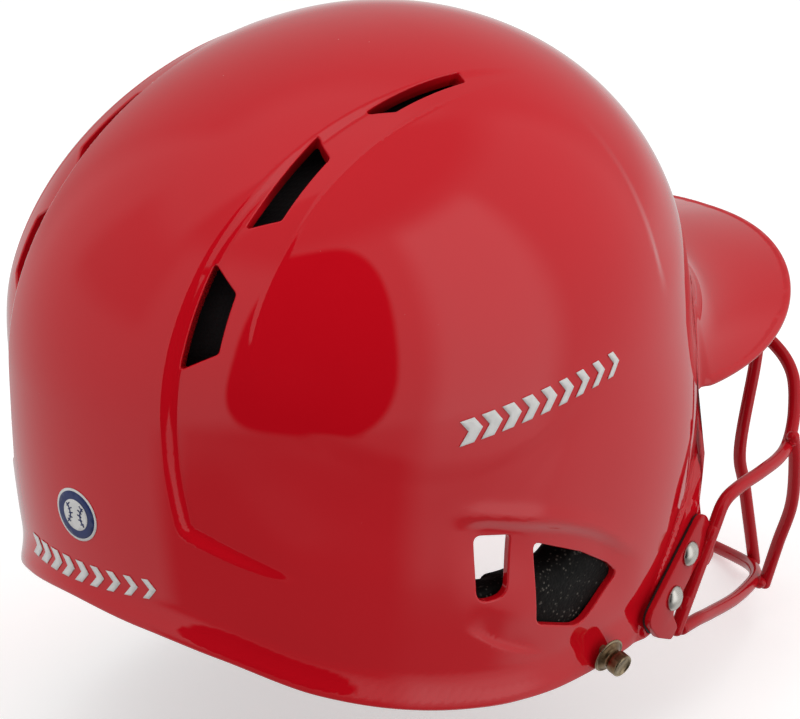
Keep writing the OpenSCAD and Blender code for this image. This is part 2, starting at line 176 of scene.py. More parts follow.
def base_skin(f, v):
    top, end = angle_at(f, np.full_like(f, ROOT_Z)), angle_at(f, rim_z(f))
    s = np.maximum(v - 1, 0)
    th = np.where(v <= 1, v * top, top + (end - top) * s)
    p = dome(f, th)
    seat = on_seat_side(p) * smooth((np.abs(f) - 30) / 12)
    flare = np.where(np.abs(f) < 58, 0, 2.2 * (1 - smooth((end - th) * 1.8 / 9))
                     * smooth((np.abs(f) - 58) / 15)) * (1 - seat)
    q = p + fillet(s)[:, None] * visor_shift(f)
    q[:, 0] += np.where(p[:, 0] < 0, -1, 1) * seat * (seat_x(p[:, 1]) - np.abs(p[:, 0]))
    q[:, 0] -= flare * sind(f)
    q[:, 1] -= flare * cosd(f)
    return q, p


# ---- Flat chart of the shell -----------------------------------------------------------
# A point of the shell has a place on a flat map round the crown that keeps small shapes
# nearly true, so that outlines can be cut and meshed there.
def stretch(f):
    return 0.6 + 0.55 * sind(f) ** 2


def to_chart(f, v):
    v = np.asarray(v, float)
    rho = np.where(v <= 1, np.tan(np.radians(np.clip(v, 0, 1) * 45)), np.exp((v - 1) * stretch(f)))
    return np.stack([rho * sind(f), rho * cosd(f)], 1)


def from_chart(q):
    rho = np.maximum(np.hypot(q[:, 0], q[:, 1]), 1e-9)
    f = np.degrees(np.arctan2(q[:, 0], q[:, 1]))
    v = np.where(rho <= 1, np.degrees(np.arctan(rho)) / 45,
                 1 + np.log(np.maximum(rho, 1)) / stretch(f))
    return f, v


STEP = 2e-4


def differences(fn, q, h=STEP):
    """fn's value, two tangents and normal at chart points."""
    dx, dy = np.array([h, 0.0]), np.array([0.0, h])
    ax, ay = (fn(q + dx) - fn(q - dx)) / (2 * h), (fn(q + dy) - fn(q - dy)) / (2 * h)
    return fn(q), ax, ay, unit(np.cross(ax, ay))


def smooth_form(q):
    return base_skin(*from_chart(q))[0]


# ---- Details pressed into the shell ----------------------------------------------------
# lam is the angle to the side of the centre plane and bet the angle over the crown from
# the front (0) to the back (180), both seen from the middle of the dome.
WALL_LINE = np.array([[60, 31], [76, 29], [95, 26], [115, 23], [135, 20], [155, 17.6],
                      [172, 17], [184, 17.2], [196, 18.2], [214, 20]], float)
CREASE_LINE = np.array([[60, 31.5], [76, 30.5], [95, 31], [120, 29.5], [140, 28], [160, 27.3],
                        [170, 27.8], [180, 31], [190, 37], [200, 45], [214, 56]], float)


def angles(p):
    d = unit(p - CENTRE)
    lam = np.degrees(np.arcsin(np.clip(np.abs(d[:, 0]), 0, 1)))
    bet = np.degrees(np.arctan2(d[:, 2], -d[:, 1]))
    return lam, np.where(bet < -90, bet + 360, bet)


def channel(p):
    """Recess beside the raised centre panel, deepest at the panel's wall."""
    lam, bet = angles(p)
    wall = monotone(bet, *WALL_LINE.T)
    crease = monotone(bet, *CREASE_LINE.T)
    depth = 2.7 * smooth((bet - 74) / 62)
    across = (lam - wall) / (crease - wall)
    blunt = 0.03 + 0.5 * smooth((bet - 166) / 16)
    ramp = soft_max0(1 - across, blunt) * smooth((1.9 - across) / 0.5)
    step = smooth((lam - wall + 0.7) / 2.2)
    above = p[:, 2] - ledge_height(p[:, 0])
    depth *= 1 - smooth((np.abs(p[:, 0]) - 50) / 22) * (1 - smooth((above - 2) / 40))
    line = 0.16 * np.exp(-(((lam - crease) / 0.3) ** 2)) * smooth((bet - 96) / 14)
    line *= (1 - smooth((bet - 158) / 12))
    return (line - depth * ramp * step * smooth((above + 2.4) / 4.8)) * (bet > 20) \
        * (1 - smooth((bet - 222) / 22))


def ledge_height(x):
    """The recess ends above this height at the back."""
    return 80 - 0.6 * (np.abs(x) - 42)


VALLEY_LINE = np.array([[112, 62], [119, 64], [123, 65.6], [138, 66.4], [155, 66.4],
                        [173, 66], [190, 66]], float)  # height, bearing
BROW_LINE = np.array([[-40, 34], [-24, 43], [-6, 55], [9, 62.5], [31, 70], [47, 74.8],
                      [58, 77.4], [75, 79]], float)  # fore-aft, height
LOWER_LINE = np.array([[0, 14], [20, 20], [33, 26], [43, 33], [56, 41]], float)
PLATE_Y, PLATE_Z = -54.6, 22  # the guard plate's middle
PLATE_SLOPE, PLATE_HALF_LINE, LAND_HEIGHT = (0.602, 0.799), 17.5, 1.0


def front_valley(f, p):
    """The side panel ends in a step at the temple, deepest at the visor's root."""
    z = p[:, 2]
    line = monotone(z, *VALLEY_LINE.T)
    ahead = line - np.abs(f)
    depth = 0.5 * smooth((192 - z) / 30) + 0.6 * smooth((165 - z) / 30)
    shape = smooth((ahead + 1.2) / 3.6) * (1 - smooth((ahead - 3) / 22))
    return -depth * shape * smooth((z - 126) / 18)


def ear_creases(p, q):
    """A brow over the ear openings and a faint fold under them."""
    y, z = q[:, 1], q[:, 2]
    under = (monotone(y, *BROW_LINE.T) - z) * 0.92
    brow = smooth((under + 2.7) / 5.4) * (1 - smooth((under - 6) / 24))
    brow *= smooth((58 - y) / 16) * smooth((y + 34) / 26)
    ridge = np.exp(-(((under + 3.2) / 3.2) ** 2)) * smooth((60 - y) / 20) * smooth((y + 30) / 40)
    over = (z - monotone(y, *LOWER_LINE.T)) * 0.88
    fold = smooth((over + 1.2) / 3.0) * (1 - smooth((over - 2) / 10))
    fold *= smooth((50 - y) / 12) * smooth((y - 8) / 22)
    return (-1.7 * brow + 0.5 * ridge - 0.8 * fold) * (np.abs(p[:, 0]) > 60)


def from_plate(y, z):
    """Distance on the side face from the guard plate's middle line."""
    y, z = y - PLATE_Y, z - PLATE_Z
    along = y * PLATE_SLOPE[0] - z * PLATE_SLOPE[1]
    across = y * PLATE_SLOPE[1] + z * PLATE_SLOPE[0]
    return np.hypot(np.maximum(np.abs(along) - PLATE_HALF_LINE, 0), across)


def plate_seat(q):
    """Raised land under the guard plate, a plate's outline in shape."""
    land = 1 - smooth((from_plate(q[:, 1], q[:, 2]) - 7.6) / 1.6)
    return LAND_HEIGHT * land * (np.abs(q[:, 0]) > 60)


def rim_roll(f, v, q, edge):
    """A bead along the visor and a rolled lip along the rest of the lower edge."""
    away = np.linalg.norm(q - edge, axis=1)
    visor, rest = smooth((43 - np.abs(f)) / 6), smooth((np.abs(f) - 56) / 8)
    bead = 0.55 * (1 - smooth((away - 2.6) / 1.1))
    lip = 0.4 * (1 - smooth((away - 2.0) / 5.0))
    return (v > 1.5) * (visor * bead + rest * lip)


def relief(f, v, p, q):
    h = channel(p) + front_valley(f, p) + ear_creases(p, q) + plate_seat(q)
    late = np.nonzero(v > 1.5)[0]
    if len(late):
        edge = base_skin(f[late], np.full(len(late), 2.0))[0]
        h[late] += rim_roll(f[late], v[late], q[late], edge)
    return h


def skin(q, depth=0.0):
    """Places on the outer face, or a depth under it."""
    f, v = from_chart(q)
    b, p = base_skin(f, v)
    h = 2e-3
    dx, dy = np.array([h, 0.0]), np.array([0.0, h])
    n = unit(np.cross(smooth_form(q + dx) - smooth_form(q - dx),
                      smooth_form(q + dy) - smooth_form(q - dy)))
    return b + n * (relief(f, v, p, b) - depth)[:, None]


def inner_skin(q):
    return skin(q, WALL)


# ---- Finding chart places ---------------------------------------------------------------
def chart_at(f, th):
    """Chart places from the bearing and the polar angle."""
    top, end = angle_at(f, np.full_like(f, ROOT_Z)), angle_at(f, rim_z(f))
    return to_chart(f, np.where(th <= top, th / top, 1 + (th - top) / (end - top)))


def chart_of_height(f, z):
    return chart_at(f, angle_at(f, z))


def chart_of_ray(lam, bet, side=1):
    """Chart places on the right side (side 1) or the left, from the two crown angles."""
    lam, bet = np.asarray(lam, float), np.asarray(bet, float)
    d = np.stack([-side * sind(lam), -cosd(lam) * cosd(bet), cosd(lam) * sind(bet)], 1)
    f = np.degrees(np.arctan2(-d[:, 0], -d[:, 1]))
    return chart_at(f, np.degrees(np.arccos(np.clip(d[:, 2], -1, 1))))


def chart_of_side(y, z, side=1):
    """Chart places whose skin point has this y and z on the right side, or the left."""
    y, z = np.asarray(y, float), np.asarray(z, float)
    f = side * np.degrees(np.arctan2(98.0, -y))
    v = np.clip(1 + (ROOT_Z - z) / (ROOT_Z - rim_z(f)), 0.3, 1.98)
    q = to_chart(f, v)
    for _ in range(12):
        p, ax, ay, _n = differences(smooth_form, q, 1e-3)
        ry, rz = y - p[:, 1], z - p[:, 2]
        det = ax[:, 1] * ay[:, 2] - ay[:, 1] * ax[:, 2]
        step = np.stack([(ry * ay[:, 2] - rz * ay[:, 1]) / det,
                         (rz * ax[:, 1] - ry * ax[:, 2]) / det], 1)
        size = np.linalg.norm(step, axis=1, keepdims=True)
        q = q + step * np.minimum(1, 0.2 / np.maximum(size, 1e-9))
    return q


def rounded(corners, radius, gap):
    """A closed outline with its corners rounded and points about gap apart."""
    c = np.asarray(corners, float)
    n = len(c)
    radius = np.broadcast_to(radius, n)
    out = []
    for i in range(n):
        a, b, d = c[i - 1], c[i], c[(i + 1) % n]
        u, w = unit(a - b), unit(d - b)
        half = math.acos(max(-1, min(1, float(u @ w)))) / 2
        back = min(radius[i] / math.tan(half), 0.45 * np.linalg.norm(a - b),
                   0.45 * np.linalg.norm(d - b))
        steps = max(4, int(radius[i] * (math.pi - 2 * half) / gap) + 1)
        for k in range(steps + 1):
            t = k / steps
            out.append((1 - t) ** 2 * (b + u * back) + 2 * t * (1 - t) * b + t * t * (b + w * back))
    return resample(np.array(out), gap)


def run_lengths(pts):
    """Length along a line of points, up to each of them."""
    return np.concatenate([[0], np.cumsum(np.linalg.norm(np.diff(pts, axis=0), axis=1))])


def resample(pts, gap):
    closed = np.vstack([pts, pts[:1]])
    along = run_lengths(closed)
    n = max(8, int(round(along[-1] / gap)))
    at = np.linspace(0, along[-1], n, endpoint=False)
    return np.stack([np.interp(at, along, closed[:, k]) for k in range(pts.shape[1])], 1)


def in_polygon(q, poly):
    x, y = q[:, 0][:, None], q[:, 1][:, None]
    x0, y0 = poly[:, 0], poly[:, 1]
    x1, y1 = np.roll(x0, -1), np.roll(y0, -1)
    inside = np.zeros(len(q), bool)
    for a in range(0, len(q), 4000):
        s = slice(a, a + 4000)
        with np.errstate(divide="ignore", invalid="ignore"):
            ahead = x[s] < (x1 - x0) * (y[s] - y0) / (y1 - y0) + x0
        inside[s] = (((y0 > y[s]) != (y1 > y[s])) & ahead).sum(1) % 2 == 1
    return inside


def edge_frame(loop, fn):
    """At each point of a closed chart loop: place, normal and the direction in the
    surface away from the loop's inside (for a loop that runs anticlockwise on the chart)."""
    p, ax, ay, n = differences(fn, loop, 1e-3)
    t2 = np.roll(loop, -1, 0) - np.roll(loop, 1, 0)
    along = unit(ax * t2[:, :1] + ay * t2[:, 1:])
    away = unit(np.cross(along, n))
    return p, n, away, ax, ay


def shifted(loop, distance):
    """The loop moved away from its inside by a distance along the surface."""
    _p, _n, away, ax, ay = edge_frame(loop, smooth_form)
    xy = (ax * ay).sum(1)
    g = np.stack([np.stack([(ax * ax).sum(1), xy], 1), np.stack([xy, (ay * ay).sum(1)], 1)], 1)
    rhs = np.stack([(ax * away).sum(1), (ay * away).sum(1)], 1) * distance
    return loop + np.linalg.solve(g, rhs[:, :, None])[:, :, 0]


def double_area(loop):
    x, y = loop[:, 0], loop[:, 1]
    return (x * np.roll(y, -1) - np.roll(x, -1) * y).sum()


def anticlockwise(loop):
    return loop if double_area(loop) > 0 else loop[::-1].copy()


# ---- Openings ---------------------------------------------------------------------------
VENTS = {
    "front": ([[23.3, 117], [25.8, 93], [28.3, 93.5], [26.8, 112.5]], [.3, .9, .9, .5]),
    "middle": ([[21, 127], [25, 129.5], [24.6, 144], [20.2, 147.5]], [.4, .9, .8, .4]),
    "rear": ([[18.6, 154], [23.2, 157.5], [23.2, 167], [18.2, 170.5]], [.3, .9, .9, .3]),
}
EAR_SLOT = ([[47, 70], [33, 67], [33.4, 45.4], [44.7, 45.4]], [2, 1.6, 4.5, 5.5])
EAR_WINDOW = ([[23, 61.5], [0.5, 50.8], [-14, 41.5], [-19.5, 36], [-1.5, 22.6], [19.3, 30.3]],
              [1.6, 14, 6, 3, 8, 5])


def openings():
    loops = []
    for side in (1, -1):
        for corners, radius in VENTS.values():
            loops.append(chart_of_ray(*rounded(corners, radius, 0.38).T, side))
        for corners, radius in (EAR_SLOT, EAR_WINDOW):
            loops.append(chart_of_side(*rounded(corners, radius, 0.9).T, side))
    return [anticlockwise(loop) for loop in loops]


def rim_loop(gap):
    """The lower edge, points about gap apart, as a chart loop."""
    f = np.linspace(-180, 180, 7200, endpoint=False)
    p = base_skin(f, np.full_like(f, 2.0))[0]
    step = np.linalg.norm(np.roll(p, -1, 0) - p, axis=1)
    along = np.concatenate([[0], np.cumsum(step)])
    n = int(along[-1] / gap)
    f = np.interp(np.linspace(0, along[-1], n, endpoint=False), along, np.append(f, 180.0))
    return anticlockwise(to_chart(f, np.full_like(f, 2.0)))


# ---- Meshing the sheets ------------------------------------------------------------------
EDGE_ROOM, POINT_ROOM = 0.75, 0.45  # least distance to an edge loop and between points


def spread(gap):
    """Chart points about gap millimetres apart over the whole skin."""
    rows = [np.zeros((1, 2))]
    levels = int(175 / gap)
    for j in range(1, levels + 1):
        v = j / levels
        r = 112 * math.sin(v * 1.5)
        n = max(6, int(2 * math.pi * r / gap))
        f = (np.arange(n) + 0.5 * (j % 2)) * 360 / n - 180
        rows.append(to_chart(f, np.full(n, v)))
    n = int(730 / gap)
    f = np.arange(n) * 360 / n - 180
    fine = np.linspace(0, 1, 60)
    for i, fi in enumerate(f):
        p = base_skin(np.full(60, fi), 1 + fine)[0]
        along = run_lengths(p)
        length = along[-1]
        near_visor = 0.7 if abs(fi) < 60 else 1.0
        m = max(4, int(length / (gap * near_visor)))
        s = (np.arange(1, m) + 0.5 * (i % 2)) / m
        s = np.interp(s * length, along, fine)
        rows.append(to_chart(np.full(m - 1, fi), 1 + s))
    return np.vstack(rows)


def on_skin(q, loops, rim):
    """Which chart points are inside the rim loop and outside the other loops."""
    keep = in_polygon(q, rim)
    for loop in loops:
        keep &= ~in_polygon(q, loop)
    return keep


def tree_of(places):
    tree = kdtree.KDTree(len(places))
    for i, p in enumerate(places):
        tree.insert(p, i)
    tree.balance()
    return tree


def triangulate(loops, rim, gap, fine_points=()):
    """Triangles over the skin inside the rim loop and outside the other loops. Returns
    chart points, triangles and the point numbers of each loop, the rim's last."""
    fixed = list(loops) + [rim]
    pts = np.vstack([spread(gap), *fine_points])
    pts = pts[on_skin(pts, loops, rim)]
    tree = tree_of(smooth_form(np.vstack(fixed)))
    where = smooth_form(pts)
    far = np.array([tree.find(p)[2] > EDGE_ROOM for p in where])
    pts = thin(pts[far], where[far])
    verts, edges, first = [Vector(p) for p in pts], [], []
    for loop in fixed:
        first.append(len(verts))
        n = len(loop)
        edges += [(len(verts) + i, len(verts) + (i + 1) % n) for i in range(n)]
        verts += [Vector(p) for p in loop]
    out, _e, faces, orig, _oe, _of = geometry.delaunay_2d_cdt(verts, edges, [], 0, 1e-9)
    q = np.array([tuple(v) for v in out])
    tri = np.array([list(t) for t in faces if len(t) == 3])
    tri = tri[on_skin(q[tri].mean(1), loops, rim)]
    new = {name: i for i, names in enumerate(orig) for name in names}
    numbers = [[new[a + i] for i in range(len(loop))] for a, loop in zip(first, fixed)]
    return q, tri, numbers


def thin(pts, where):
    """Leaves out points that crowd an earlier one."""
    tree = tree_of(where)
    gone = np.zeros(len(where), bool)
    for i, p in enumerate(where):
        if not gone[i]:
            for _co, j, _d in tree.find_range(p, POINT_ROOM):
                gone[j] |= j > i
    return pts[~gone]


def new_object(name, data):
    ob = bpy.data.objects.new(name, data)
    bpy.context.scene.collection.objects.link(ob)
    return ob


def object_from(name, verts, faces, normals=None):
    me = bpy.data.meshes.new(name)
    me.from_pydata([tuple(v) for v in verts], [], [tuple(int(i) for i in f) for f in faces])
    me.polygons.foreach_set("use_smooth", [True] * len(me.polygons))
    if normals is not None:
        me.normals_split_custom_set_from_vertices([tuple(n) for n in normals])
    me.update()
    return new_object(name, me)


COLLAR_WALL, COLLAR_DEPTH = 1.7, 5.8  # each vent's wall goes deeper than the skin
HOLE_ROUND, RIM_ROUND = 0.7, 1.4  # how far the edges are rounded over


def rounded_wall(loop, radius, sign, collar):
    """Rings down an opening's or the rim's wall, rounded above and below, with normals."""
    top_p, top_n, away, _ax, _ay = edge_frame(loop, skin)
    away = away * sign
    low_p = inner_skin(loop)
    down = unit(low_p - top_p)
    thick = np.linalg.norm(low_p - top_p, axis=1)[:, None]
    if collar:
        thick = thick * 0 + COLLAR_DEPTH
    turns = np.radians([22.5, 45, 67.5, 90])
    rings, normals = [], []
    for a in turns:
        across, dip_in = radius * (1 - math.sin(a)), radius * (1 - math.cos(a))
        rings.append(top_p + away * across + down * dip_in)
        normals.append(-down * math.cos(a) - away * math.sin(a))
    for a in turns[::-1]:
        across, dip_in = radius * (1 - math.sin(a)), radius * (1 - math.cos(a))
        rings.append(top_p + down * thick + away * across - down * dip_in)
        normals.append(down * math.cos(a) - away * math.sin(a))
    if collar:
        rings += [top_p + down * thick + away * (COLLAR_WALL - 0.4),
                  top_p + down * (thick - 0.4) + away * COLLAR_WALL]
        normals += [down, away]
    return rings, normals


def build_shell():
    """Outer sheet, inner sheet and the rounded walls between them, as one mesh."""
    outline, rim = openings(), rim_loop(1.6)
    is_vent = [k % (len(outline) // 2) < len(VENTS) for k in range(len(outline))] + [False]
    top_rim = shifted(rim, -RIM_ROUND)
    top, top_tri, top_numbers = triangulate([shifted(loop, HOLE_ROUND) for loop in outline],
                                            top_rim, 2.3, fine_rows())
    low_loops = [shifted(loop, COLLAR_WALL if vent else HOLE_ROUND)
                 for loop, vent in zip(outline, is_vent)]
    low, low_tri, low_numbers = triangulate(low_loops, top_rim, 4.6)
    p, _ax, _ay, n = differences(skin, top)
    p2, _ax, _ay, n2 = differences(inner_skin, low)
    verts, normals, faces = [p, p2], [n, -n2], [top_tri, low_tri[:, ::-1] + len(p)]
    count = len(p) + len(p2)
    for k, loop in enumerate(outline + [rim]):
        last, m = k == len(outline), len(loop)
        rings, ring_n = rounded_wall(loop, RIM_ROUND if last else HOLE_ROUND,
                                     -1 if last else 1, is_vent[k])
        verts += rings
        normals += ring_n
        chain = [np.array(top_numbers[k])]
        chain += [count + m * j + np.arange(m) for j in range(len(rings))]
        chain += [len(p) + np.array(low_numbers[k])]
        count += m * len(rings)
        for a, b in zip(chain, chain[1:]):
            quad = np.stack([a, np.roll(a, -1), np.roll(b, -1), b], 1)
            faces.append(quad[:, ::-1] if last else quad)
    all_faces = [list(f) for part in faces for f in part]
    return object_from("shell_skin", place(np.vstack(verts)), all_faces, np.vstack(normals))


def fine_rows():
    """Extra points beside the detail lines, close enough to carry their shape."""
    rows = []

    def along(start, end, step, offsets, chart):
        at = np.arange(start, end, step)
        rows.extend(chart(at, off) for off in offsets)

    for side in (1, -1):
        def at_ledge(f, off):
            z = 70.0
            for _ in range(4):
                x = smooth_form(chart_of_height(side * f, z + 0 * f))[:, 0]
                z = ledge_height(x) + off
            return chart_of_height(side * f, z)
        along(72, 206, 0.45, (-0.8, -0.4, 0.0, 0.4, 0.8, 1.2, 1.6),
              lambda b, off: chart_of_ray(monotone(b, *WALL_LINE.T) + off, b, side))
        along(76, 178, 0.45, (-0.8, -0.4, -0.12, 0.12, 0.4, 0.8),
              lambda b, off: chart_of_ray(monotone(b, *CREASE_LINE.T) + off, b, side))
        along(-30, 60, 1.0, (-1.8, -0.9, 0.0, 0.9, 1.8, 2.7),
              lambda y, off: chart_of_side(y, monotone(y, *BROW_LINE.T) - off, side))
        along(8, 52, 1.1, (-1.3, -0.4, 0.5, 1.4),
              lambda y, off: chart_of_side(y, monotone(y, *LOWER_LINE.T) + off, side))
        along(122, 190, 1.1, (-0.8, 0, 0.8, 1.6, 2.4),
              lambda z, off: chart_of_height(side * (monotone(z, *VALLEY_LINE.T) - off), z))
        along(128, 174, 0.42, (-2.6, -1.7, -0.8, 0.1, 1.0, 1.9, 2.8), at_ledge)
        y, z = np.meshgrid(np.arange(-74, -34, 0.9), np.arange(2, 46, 0.9))
        far = from_plate(y, z)
        near = (far > 7.2) & (far < 9.6)
        rows.append(chart_of_side(y[near], z[near], side))
    along(-47, 47, 0.5, (0.9, 0.925, 0.945, 0.96, 0.975),
          lambda f, s: to_chart(f, np.full_like(f, 1 + s)))
    return rows


# ---- Materials ---------------------------------------------------------------------------
def srgb(r, g, b):
    return tuple((c / 255 / 12.92) if c <= 10 else ((c / 255 + 0.055) / 1.055) ** 2.4
                 for c in (r, g, b)) + (1.0,)


def add_node(tree, kind, sockets, **settings):
    """A node whose sockets are linked, where the value is another's output, or else set."""
    n = tree.nodes.new(kind)
    for key, value in settings.items():
        setattr(n, key, value)
    for socket, value in sockets.items():
        if isinstance(value, bpy.types.NodeSocket):
            tree.links.new(value, n.inputs[socket])
        else:
            n.inputs[socket].default_value = value
    return n


class Look:
    """A new material: constants on the shader's own sockets, and nodes for the rest."""

    def __init__(self, name, constants):
        self.material = bpy.data.materials.new(name)
        self.material.use_nodes = True
        self.tree = self.material.node_tree
        self.shader = self.tree.nodes["Principled BSDF"]
        for socket, value in constants.items():
            self.shader.inputs[socket].default_value = value

    def done(self, sources):
        for socket, source in sources.items():
            self.tree.links.new(source, self.shader.inputs[socket])
        return self.material

    def texture(self, kind, sockets, **settings):
        at = add_node(self.tree, "ShaderNodeTexCoord", {}).outputs["Object"]
        return add_node(self.tree, kind, {**sockets, "Vector": at}, **settings)

    def noise(self, scale, detail=3.0, rough=0.5):
        return self.texture("ShaderNodeTexNoise", {"Scale": scale, "Detail": detail,
                                                   "Roughness": rough}).outputs["Fac"]

    def cells(self, scale):
        return self.texture("ShaderNodeTexVoronoi", {"Scale": scale}).outputs["Distance"]

    def ramp(self, source, *stops):
        n = add_node(self.tree, "ShaderNodeValToRGB", {"Fac": source})
        while len(n.color_ramp.elements) < len(stops):
            n.color_ramp.elements.new(0.5)
        for e, (at, colour) in zip(n.color_ramp.elements, stops):
            e.position = at
            e.color = colour if hasattr(colour, "__len__") else (colour, colour, colour, 1)
        return n.outputs["Color"]

    def bump(self, source, strength, distance, after=None):
        sockets = {"Strength": strength, "Distance": distance, "Height": source}
        if after is not None:
            sockets["Normal"] = after
        return add_node(self.tree, "ShaderNodeBump", sockets).outputs["Normal"]

    def flecks(self, base, colour, spots, where):
        """The base with small spots of a colour, where both masks are white."""
        both = add_node(self.tree, "ShaderNodeMath", {0: spots, 1: where}, operation="MULTIPLY")
        mix = add_node(self.tree, "ShaderNodeMix",
                       {"Factor": both.outputs[0], "A": base, "B": colour}, data_type="RGBA")
        return mix.outputs["Result"]


def gloss_red(name, low, high, flow=0.25, gloss=1.0, haze=0.03):
    """Glossy moulded plastic or powder coat: a slow change of tint, a few pale dust specks,
    a matt body under a clear gloss, and moulding flow that only touches the gloss."""
    look = Look(name, {"Specular IOR Level": 0.0, "Coat Weight": gloss, "Coat IOR": 1.5,
                       "Coat Roughness": haze})
    tint = look.ramp(look.noise(9, 4), (0.35, low), (0.65, high))
    speck = look.ramp(look.cells(160), (0.018, 1.0), (0.03, 0.0))
    patch = look.ramp(look.noise(45, 2), (0.60, 0.0), (0.66, 1.0))
    return look.done({
        "Base Color": look.flecks(tint, (0.75, 0.42, 0.40, 1), speck, patch),
        "Roughness": look.ramp(look.noise(120, 5, 0.7), (0.3, 0.45), (0.7, 0.55)),
        "Coat Normal": look.bump(look.noise(55, 2), flow, 0.00004)})


def foam_black(name):
    """Closed-cell foam with a fine skin, pale dust specks and dull bare patches."""
    look = Look(name, {"Specular IOR Level": 0.12, "Sheen Weight": 0.03})
    grain, wear = look.noise(420, 4, 0.65), look.noise(30, 4, 0.6)
    base = look.ramp(grain, (0.35, (0.003, 0.003, 0.003, 1)), (0.62, (0.008, 0.0075, 0.007, 1)),
                     (0.75, (0.022, 0.020, 0.017, 1)))
    dust = look.ramp(look.cells(620), (0.16, 1.0), (0.30, 0.0))
    some = look.ramp(look.noise(190, 2), (0.44, 0.0), (0.56, 0.9))
    pores = look.bump(look.cells(900), 0.5, 0.0003)
    return look.done({
        "Base Color": look.flecks(base, (0.13, 0.12, 0.105, 1), dust, some),
        "Roughness": look.ramp(wear, (0.35, 0.62), (0.7, 0.86)),
        "Normal": look.bump(grain, 0.45, 0.0004, pores)})


def knit_black(name):
    """A brushed knit cover: fine ribs both ways, a soft sheen and slight fading."""
    look = Look(name, {"Roughness": 0.85, "Specular IOR Level": 0.12, "Sheen Weight": 0.10})
    ribs = [look.texture("ShaderNodeTexWave", {"Scale": 260, "Distortion": 1.2, "Detail": 1.5},
                         bands_direction=axis).outputs["Fac"] for axis in ("X", "Z")]
    weave = add_node(look.tree, "ShaderNodeMath", dict(enumerate(ribs)), operation="MAXIMUM")
    fine = look.bump(look.noise(600, 3), 0.4, 0.0003)
    return look.done({
        "Base Color": look.ramp(look.noise(26, 4), (0.3, (0.006, 0.006, 0.0065, 1)),
                                (0.7, (0.014, 0.014, 0.015, 1))),
        "Normal": look.bump(weave.outputs[0], 0.5, 0.0003, fine)})


def metal(name, dark, light, rough, scale=140, scratch=0.25):
    """Plated metal: mottled tone and gloss, with fine scratches."""
    look = Look(name, {"Metallic": 1.0})
    return look.done({
        "Base Color": look.ramp(look.noise(scale, 5, 0.6), (0.32, dark), (0.66, light)),
        "Roughness": look.ramp(look.noise(scale * 2, 4, 0.7), (0.3, rough * 0.7),
                               (0.7, rough * 1.5)),
        "Normal": look.bump(look.noise(scale * 3, 4), scratch, 0.0001)})


def print_film(name, low, high):
    """Printed vinyl with a slightly uneven gloss."""
    look = Look(name, {"Specular IOR Level": 0.35})
    return look.done({
        "Base Color": look.ramp(look.noise(240, 4), (0.3, low), (0.7, high)),
        "Roughness": look.ramp(look.noise(500, 3), (0.3, 0.28), (0.7, 0.42)),
        "Normal": look.bump(look.noise(900, 3), 0.2, 0.00005)})


# Near-black rubber for the strip under the guard plate: partly the rubber's own colour, partly
# painted shade standing in for the shadow in the gap.
def rubber_and_gap_shade_black(name):
    look = Look(name, {"Roughness": 0.6})
    return look.done({
        "Base Color": look.ramp(look.noise(300, 4), (0.3, (0.008, 0.006, 0.006, 1)),
                                (0.7, (0.02, 0.014, 0.014, 1))),
        "Normal": look.bump(look.noise(900, 3), 0.3, 0.0001)})


SHELL_RED = gloss_red("shell_red", (0.63, 0.0042, 0.012, 1), (0.67, 0.0055, 0.015, 1))
GUARD_RED = gloss_red("guard_red", (0.50, 0.006, 0.013, 1), (0.60, 0.010, 0.019, 1),
                      flow=0.3, gloss=0.6, haze=0.12)
FOAM = foam_black("foam_black")
KNIT = knit_black("knit_black")
STEEL = metal("plated_steel", (0.50, 0.47, 0.42, 1), (0.72, 0.70, 0.66, 1), 0.26)
BRASS = metal("antique_brass", (0.075, 0.04, 0.022, 1), (0.30, 0.20, 0.11, 1), 0.34, 320, 0.4)
BRASS_BRIGHT = metal("worn_brass", (0.22, 0.16, 0.10, 1), (0.42, 0.34, 0.22, 1), 0.30, 320, 0.4)
RUBBER_AND_GAP_SHADE = rubber_and_gap_shade_black("gasket_rubber")
WHITE = print_film("print_white", (0.78, 0.78, 0.77, 1), (0.86, 0.86, 0.85, 1))
NAVY = print_film("print_navy", srgb(30, 44, 96), srgb(38, 54, 112))


# ---- Helpers for pieces ------------------------------------------------------------------
def finish_piece(ob, materials, node):
    """Materials, body, the CAD node the piece stands for, if any."""
    for m in materials if isinstance(materials, list) else [materials]:
        ob.data.materials.append(m)
    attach(ob, "root")
    if node:
        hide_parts(node)


def mirrored(points):
    return np.asarray(points, float) * [-1, 1, 1]


def join_parts(parts):
    """One list of points and faces from several."""
    verts, faces, count = [], [], 0
    for v, f in parts:
        verts.append(np.asarray(v, float))
        faces += [[i + count for i in face] for face in f]
        count += len(v)
    return np.vstack(verts), faces


def flipped(part):
    v, f = part
    return mirrored(v), [face[::-1] for face in f]


def curve_points(p, n):
    """Smooth curve through points, as the CAD's wires run."""
    p = np.asarray(p, float)
    out = []
    for i in range(len(p) - 1):
        a, b, c, d = p[max(i - 1, 0)], p[i], p[i + 1], p[min(i + 2, len(p) - 1)]
        for k in range(n):
            s = k / n
            out.append(0.5 * (2 * b + (c - a) * s + (2 * a - 5 * b + 4 * c - d) * s * s
                              + (3 * b - a - 3 * c + d) * s ** 3))
    return np.array(out + [p[-1]])


def ring_faces(rings, sides):
    """Quads between rings of points, and a cap on the first ring and on the last."""
    faces = [[i * sides + k, i * sides + (k + 1) % sides, (i + 1) * sides + (k + 1) % sides,
              (i + 1) * sides + k] for i in range(rings - 1) for k in range(sides)]
    last = (rings - 1) * sides
    return faces + [list(range(sides))[::-1], list(range(last, last + sides))]


